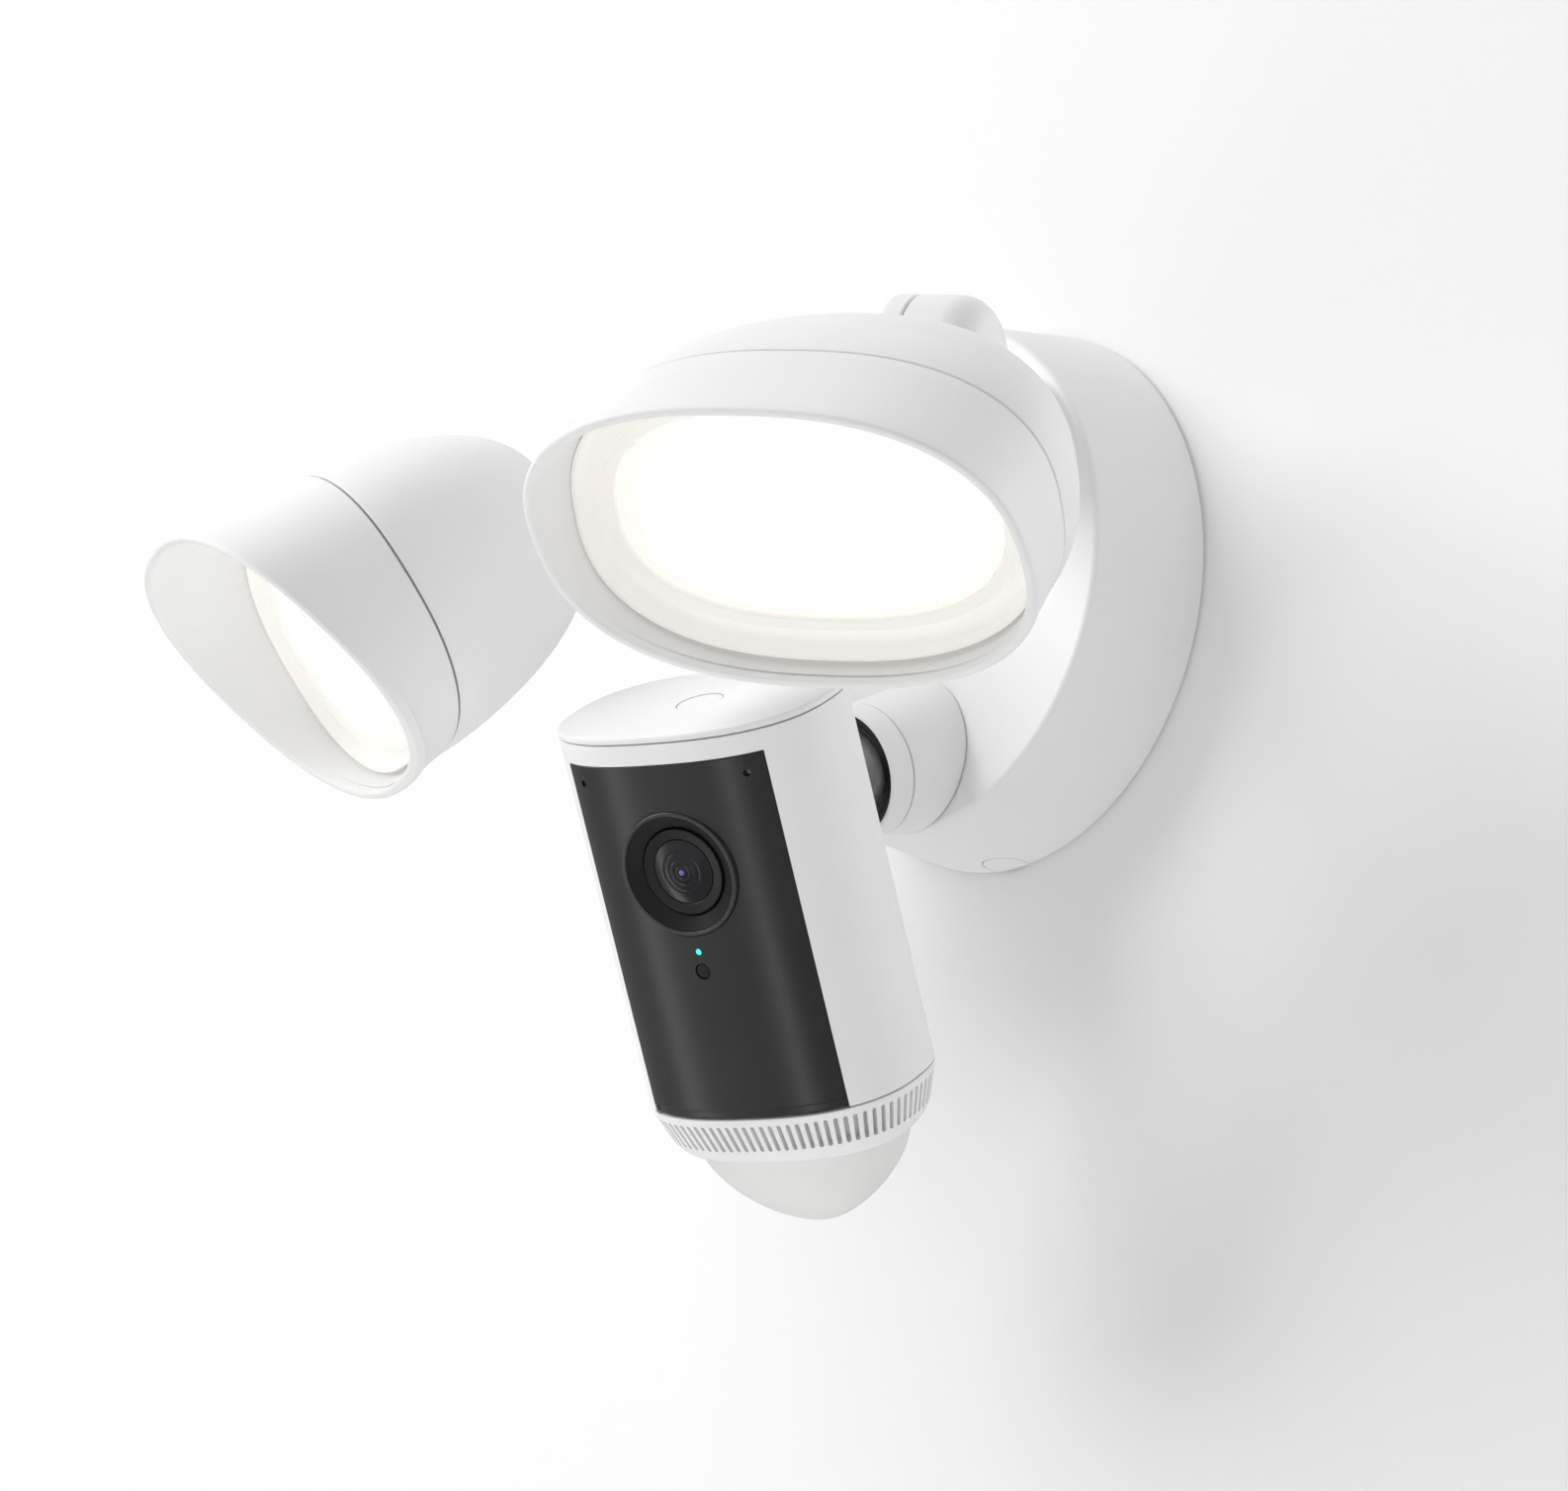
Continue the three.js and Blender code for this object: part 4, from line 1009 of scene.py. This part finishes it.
def lens_rim():
    """The thin polished edge of the outer ring, in a lighter black that paints its highlight."""
    front = LENS_FRONT
    return lathe([
        (BEZEL_RADIUS, front + 3, 0),
        (BEZEL_RADIUS, front, 0.4),
        (BEZEL_RADIUS - 1.0, front, 0.35),
        (BEZEL_RADIUS - 1.1, front + 0.7, 0.1),
        (BEZEL_RADIUS - 0.05, front + 0.7, 0),
        (BEZEL_RADIUS - 0.05, front + 3, 0),
    ])


def lens_barrel():
    """The flat ring that holds the glass."""
    front = LENS_FRONT
    return lathe([
        (BARREL_RADIUS, front + 9, 0),
        (BARREL_RADIUS, front + 1.9, 0.3),
        (GLASS_RADIUS + 0.4, front + 2.2, 0.2),
        (GLASS_RADIUS + 0.15, front + 2.4, 0.1),
        (GLASS_RADIUS + 0.15, front + 9, 0),
    ])


def lens_glass():
    """The front element: a dark dome with two faint rings."""
    front = LENS_FRONT
    steps = 60
    points = []
    for i in range(steps + 1):
        radius = GLASS_RADIUS * i / steps
        sunk = 1.4 + 0.9 * (radius / GLASS_RADIUS) ** 2
        groove = sum(math.exp(-(((radius - ring) / GROOVE_WIDTH) ** 2)) for ring in GLASS_RINGS)
        points.append((radius, front + sunk + GROOVE_DEPTH * groove))
    return swept([*points, (GLASS_RADIUS, front + 4.6), (0, front + 4.6)], closed=False)


def inner_element():
    """The coated pupil in the middle of the dome. Its violet tint and glow are a painted
    reflection.
    """
    front = LENS_FRONT + 1.3
    bulge = 0.3
    steps = 12
    curve = []
    for i in range(steps + 1):
        angle = QUARTER * i / steps
        curve.append((PUPIL_RADIUS * math.sin(angle), front + bulge * (1 - math.cos(angle))))
    return swept([*curve, (PUPIL_RADIUS, front + 0.5), (0, front + 0.5)], closed=False)


def status_pipe():
    return rod(LIGHT_RADIUS, LENS_FRONT + 0.45, LENS_FRONT + 8, 0.2)


def sensor_window():
    return rod(1.75, LENS_FRONT + 0.5, LENS_FRONT + 2, 0.25)


# ---- Slotted band and motion dome ----

BAND_BOTTOM = BAND_TOP + BAND_HEIGHT


def slot_cutters():
    """Round-ended slots, evenly spaced along the band and square to its slanting wall."""
    upper, lower = 1.75, 9.0
    top = body_ring(0.55, BAND_TOP + upper)
    bottom = body_ring(3.05, BAND_TOP + lower)
    count = len(top)
    lengths = [0.0]
    for i in range(count):
        here, there = Vector(top[i]), Vector(top[(i + 1) % count])
        lengths.append(lengths[-1] + (there - here).length)
    cutters = bmesh.new()
    for k in range(SLOTS_IN_BAND):
        target = lengths[-1] * (k + 0.5) / SLOTS_IN_BAND
        i = max(j for j in range(count) if lengths[j] <= target)
        part = (target - lengths[i]) / (lengths[i + 1] - lengths[i])
        j = (i + 1) % count
        high = Vector(top[i]).lerp(Vector(top[j]), part)
        low = Vector(bottom[i]).lerp(Vector(bottom[j]), part)
        down = (low - high).normalized()
        side = (Vector(top[j]) - Vector(top[i])).normalized()
        out = side.cross(down).normalized()
        straight = (low - high).length / 2 - SLOT_HALF_WIDTH
        middle = (low + high) / 2
        rim = []
        for sign in (1, -1):
            for s in range(9):
                angle = math.pi * s / 8
                along = sign * (straight + SLOT_HALF_WIDTH * math.sin(angle))
                aside = sign * SLOT_HALF_WIDTH * math.cos(angle)
                rim.append(middle + down * along + side * aside)
        outer = [cutters.verts.new(p + out * 2.2) for p in rim]
        inner = [cutters.verts.new(p - out * 4.5) for p in rim]
        cutters.faces.new(outer)
        cutters.faces.new(inner)
        for a in range(len(rim)):
            b = (a + 1) % len(rim)
            cutters.faces.new((outer[a], outer[b], inner[b], inner[a]))
    bmesh.ops.recalc_face_normals(cutters, faces=cutters.faces)
    return cutters


def grille_band():
    """The white band under the body, drawn in towards the dome and slotted all round."""
    corners = [
        (0.6, 0, 0),
        (0, 0, 0.3),
        (0.6, 2, 6),
        (3.1, 9.2, 8),
        (4.7, 11.6, 2),
        (6.2, 12.9, 1),
        (BAND_INSET, BAND_HEIGHT, 0),
    ]
    outside = rounded(corners, closed=False)
    inside = [(BAND_INSET, BAND_HEIGHT - 2), (5.6, 9.2), (2.4, 0)]
    profile = [(inset, BAND_TOP + below) for inset, below in [*outside, *inside]]
    return cut(swept(profile, body_ring), slot_cutters())


def grille_backing():
    """A dark grey sleeve behind the slots: painted shade for the inside seen through them."""
    profile = [(2.9, 0.6), (5.4, 8.6), (6.0, 8.6), (3.5, 0.6)]
    return swept([(inset, BAND_TOP + below) for inset, below in profile], body_ring)


def sensor_dome():
    """A bulging dome that narrows evenly to its tip, hollow inside."""

    def ring(size, share, wall):
        wide = (BODY_HALF_WIDTH - BAND_INSET - GAP) * size - wall
        deep = (BODY_HALF_DEPTH - BAND_INSET - GAP) * size - wall
        below = BAND_BOTTOM - 1.4 + share * (DOME_DEPTH + 1.4 - wall)
        section = oval(max(0.0, wide), max(0.0, deep), BODY_ROUNDNESS)
        return [(x, y, -below) for x, y in section]

    steps = 30
    wall = 1.4
    outside = []
    inside = []
    for i in range(steps + 1):
        angle = QUARTER * i / steps
        share = 0.99 * math.sin(angle) ** (2 / TIP_CURVE)
        size = max(0.0, math.cos(angle)) ** (2 / TIP_CURVE)
        outside.append((size, share, 0))
        inside.append((size, share, wall))
    return swept([*reversed(outside), *inside], ring, closed=False)


piece("camera_housing", camera_shell(), BODY, WHITE, "camera", "white_shell", "camera_shell")
piece("dark_front", front_panel(), BODY, CHARCOAL, "camera", "front_panel", "front_panel")
piece("camera_lid", top_cap(), BODY, WHITE, "camera", "white_shell", "top_cap")
BUTTON = BODY @ turn("X", 90)
piece("round_button", setup_button(), BUTTON, WHITE, "setup_button", "white_shell", "setup_button")
piece("lens_ring", lens_bezel(), LENS, BLACK, "camera", "black_plastic", "lens_bezel")
piece("lens_rim", lens_rim(), LENS, RIM_PAINTED_HIGHLIGHT, "camera", "black_plastic")
piece("lens_rings", lens_barrel(), LENS, BLACK, "camera", "black_plastic", "lens_barrel")
piece("lens_front_glass", lens_glass(), LENS, GLASS, "camera", "lens_glass", "lens_glass")
piece("lens_inner_element", inner_element(), LENS, COATED_PAINTED_GLINT, "camera", "lens_glass")
LIGHT = LENS @ shift(0, 0, -LIGHT_BELOW_LENS)
piece("status_light", status_pipe(), LIGHT, STATUS, "camera", "status_light", "status_light_pipe")
SENSOR = LENS @ shift(0, 0, -SENSOR_BELOW_LENS)
sensor_node = "light_sensor_window"
piece("light_sensor", sensor_window(), SENSOR, BLACK, "camera", "black_plastic", sensor_node)
piece("slotted_band", grille_band(), BODY, WHITE, "camera", "white_shell", "grille_band")
piece("slot_shade_sleeve", grille_backing(), BODY, SLOT_PAINTED_SHADE, "camera", "black_plastic")
piece("motion_dome", sensor_dome(), BODY, DOME, "camera", "dome_plastic", "sensor_dome")

# ---- Stage: wall, floor, lights and camera ----


def stage_material(name, tone, own_light):
    """A pale matt surface, which is clear from behind."""
    made, nodes, links, shader = new_material(name)
    mottle = spread(nodes, links, noise(nodes, links, 3.0), 0.0, 1.0)
    lighter = tuple(c + 0.01 for c in tone)
    links.new(blended(nodes, links, mottle, tone, lighter), shader.inputs["Base Color"])
    shader.inputs["Roughness"].default_value = 0.9
    shader.inputs["Specular IOR Level"].default_value = 0.1
    shader.inputs["Emission Color"].default_value = (1, 1, 1, 1)
    shader.inputs["Emission Strength"].default_value = own_light
    facing = nodes.new("ShaderNodeNewGeometry")
    clear = nodes.new("ShaderNodeBsdfTransparent")
    mixed = nodes.new("ShaderNodeMixShader")
    links.new(facing.outputs["Backfacing"], mixed.inputs["Fac"])
    links.new(shader.outputs["BSDF"], mixed.inputs[1])
    links.new(clear.outputs["BSDF"], mixed.inputs[2])
    links.new(mixed.outputs["Shader"], nodes["Material Output"].inputs["Surface"])
    return made


def sheet_of(name, size, place, material):
    shape = bmesh.new()
    bmesh.ops.create_grid(shape, x_segments=1, y_segments=1, size=size / 2)
    mesh = bpy.data.meshes.new(name)
    shape.to_mesh(mesh)
    shape.free()
    mesh.materials.append(material)
    made = bpy.data.objects.new(name, mesh)
    bpy.context.scene.collection.objects.link(made)
    made.matrix_world = place
    made.visible_shadow = False
    made.visible_glossy = False
    return made


STAGE_SIZE = 8
FLOOR_HEIGHT = -0.75
WALL_BEHIND = 0.0006
wall_place = at(0, WALL_BEHIND, 0) @ turn("X", 90)
wall_paint = stage_material("wall_paint", (0.88, 0.88, 0.88), 0.02)
wall = sheet_of("wall", STAGE_SIZE, wall_place, wall_paint)
floor_place = at(0, -STAGE_SIZE / 2, FLOOR_HEIGHT)
floor_paint = stage_material("floor_paint", (0.9, 0.9, 0.9), 0.0)
floor = sheet_of("floor", STAGE_SIZE, floor_place, floor_paint)

# ---- The view, and the lights round it. Their places are in metres. ----

VIEW_FROM = (1.02767, -0.96476, -0.39882)
VIEW_YAW = 49.1
VIEW_RISE = 14.44
VIEW_LENS = 136.19
SENSOR_WIDTH = 36
VIEW_TURN = turn("Z", VIEW_YAW) @ turn("X", 90 + VIEW_RISE)


def lamp(name, spot, aim, size, watts):
    """A round soft light."""
    light = bpy.data.lights.new(name, "AREA")
    light.shape = "DISK"
    light.size = size
    light.energy = watts
    made = bpy.data.objects.new(name, light)
    bpy.context.scene.collection.objects.link(made)
    made.location = spot
    made.rotation_euler = (Vector(aim) - Vector(spot)).to_track_quat("-Z", "Y").to_euler()


MIDDLE = (0, -0.08, -0.02)
lamp("key", (-1.0, -1.3, 1.2), MIDDLE, 1.6, 33)
lamp("fill", (-0.6, -2.2, -0.8), MIDDLE, 1.8, 3)
lamp("rear", (0.6, 1.8, 0.9), MIDDLE, 1.4, 9)

STRIP_WIDTH = 0.16
STRIP_LENGTH = 1.3
STRIP_AWAY = 1.2
TO_VIEW = VIEW_TURN.to_3x3() @ Vector((0, 0, 1))
BODY_UP = (BODY.to_3x3() @ Vector((0, 0, 1))).normalized()


def strip(name, yaw, watts):
    """A tall soft light that the curved front reflects to the camera as an upright band."""
    normal = (BODY.to_3x3() @ Vector((math.sin(yaw), -math.cos(yaw), 0))).normalized()
    towards = 2 * normal.dot(TO_VIEW) * normal - TO_VIEW
    centre = BODY @ Vector((0, -BODY_HALF_DEPTH * MM, -BODY_LENGTH * MM / 2))
    light = bpy.data.lights.new(name, "AREA")
    light.shape = "RECTANGLE"
    light.size = STRIP_WIDTH
    light.size_y = STRIP_LENGTH
    light.energy = watts
    made = bpy.data.objects.new(name, light)
    bpy.context.scene.collection.objects.link(made)
    axis_x = BODY_UP.cross(towards).normalized()
    axis_y = towards.cross(axis_x)
    turned = Matrix((axis_x, axis_y, towards)).transposed().to_4x4()
    made.matrix_world = at(*(centre + towards * STRIP_AWAY)) @ turned
    made.visible_diffuse = False


world = bpy.data.worlds.new("studio")
bpy.context.scene.world = world
world.use_nodes = True
background = world.node_tree.nodes["Background"]
background.inputs["Color"].default_value = (1.0, 1.0, 1.0, 1)
background.inputs["Strength"].default_value = 0.44
bpy.context.scene.view_settings.view_transform = "Standard"

strip("left_band", math.radians(-9), 1.6)
strip("right_band", math.radians(17), 1.6)

view = bpy.data.cameras.new("view")
view.lens = VIEW_LENS
view.sensor_width = SENSOR_WIDTH
view_object = bpy.data.objects.new("view", view)
bpy.context.scene.collection.objects.link(view_object)
view_object.matrix_world = at(*VIEW_FROM) @ VIEW_TURN
view.clip_start = 0.01
bpy.context.scene.camera = view_object
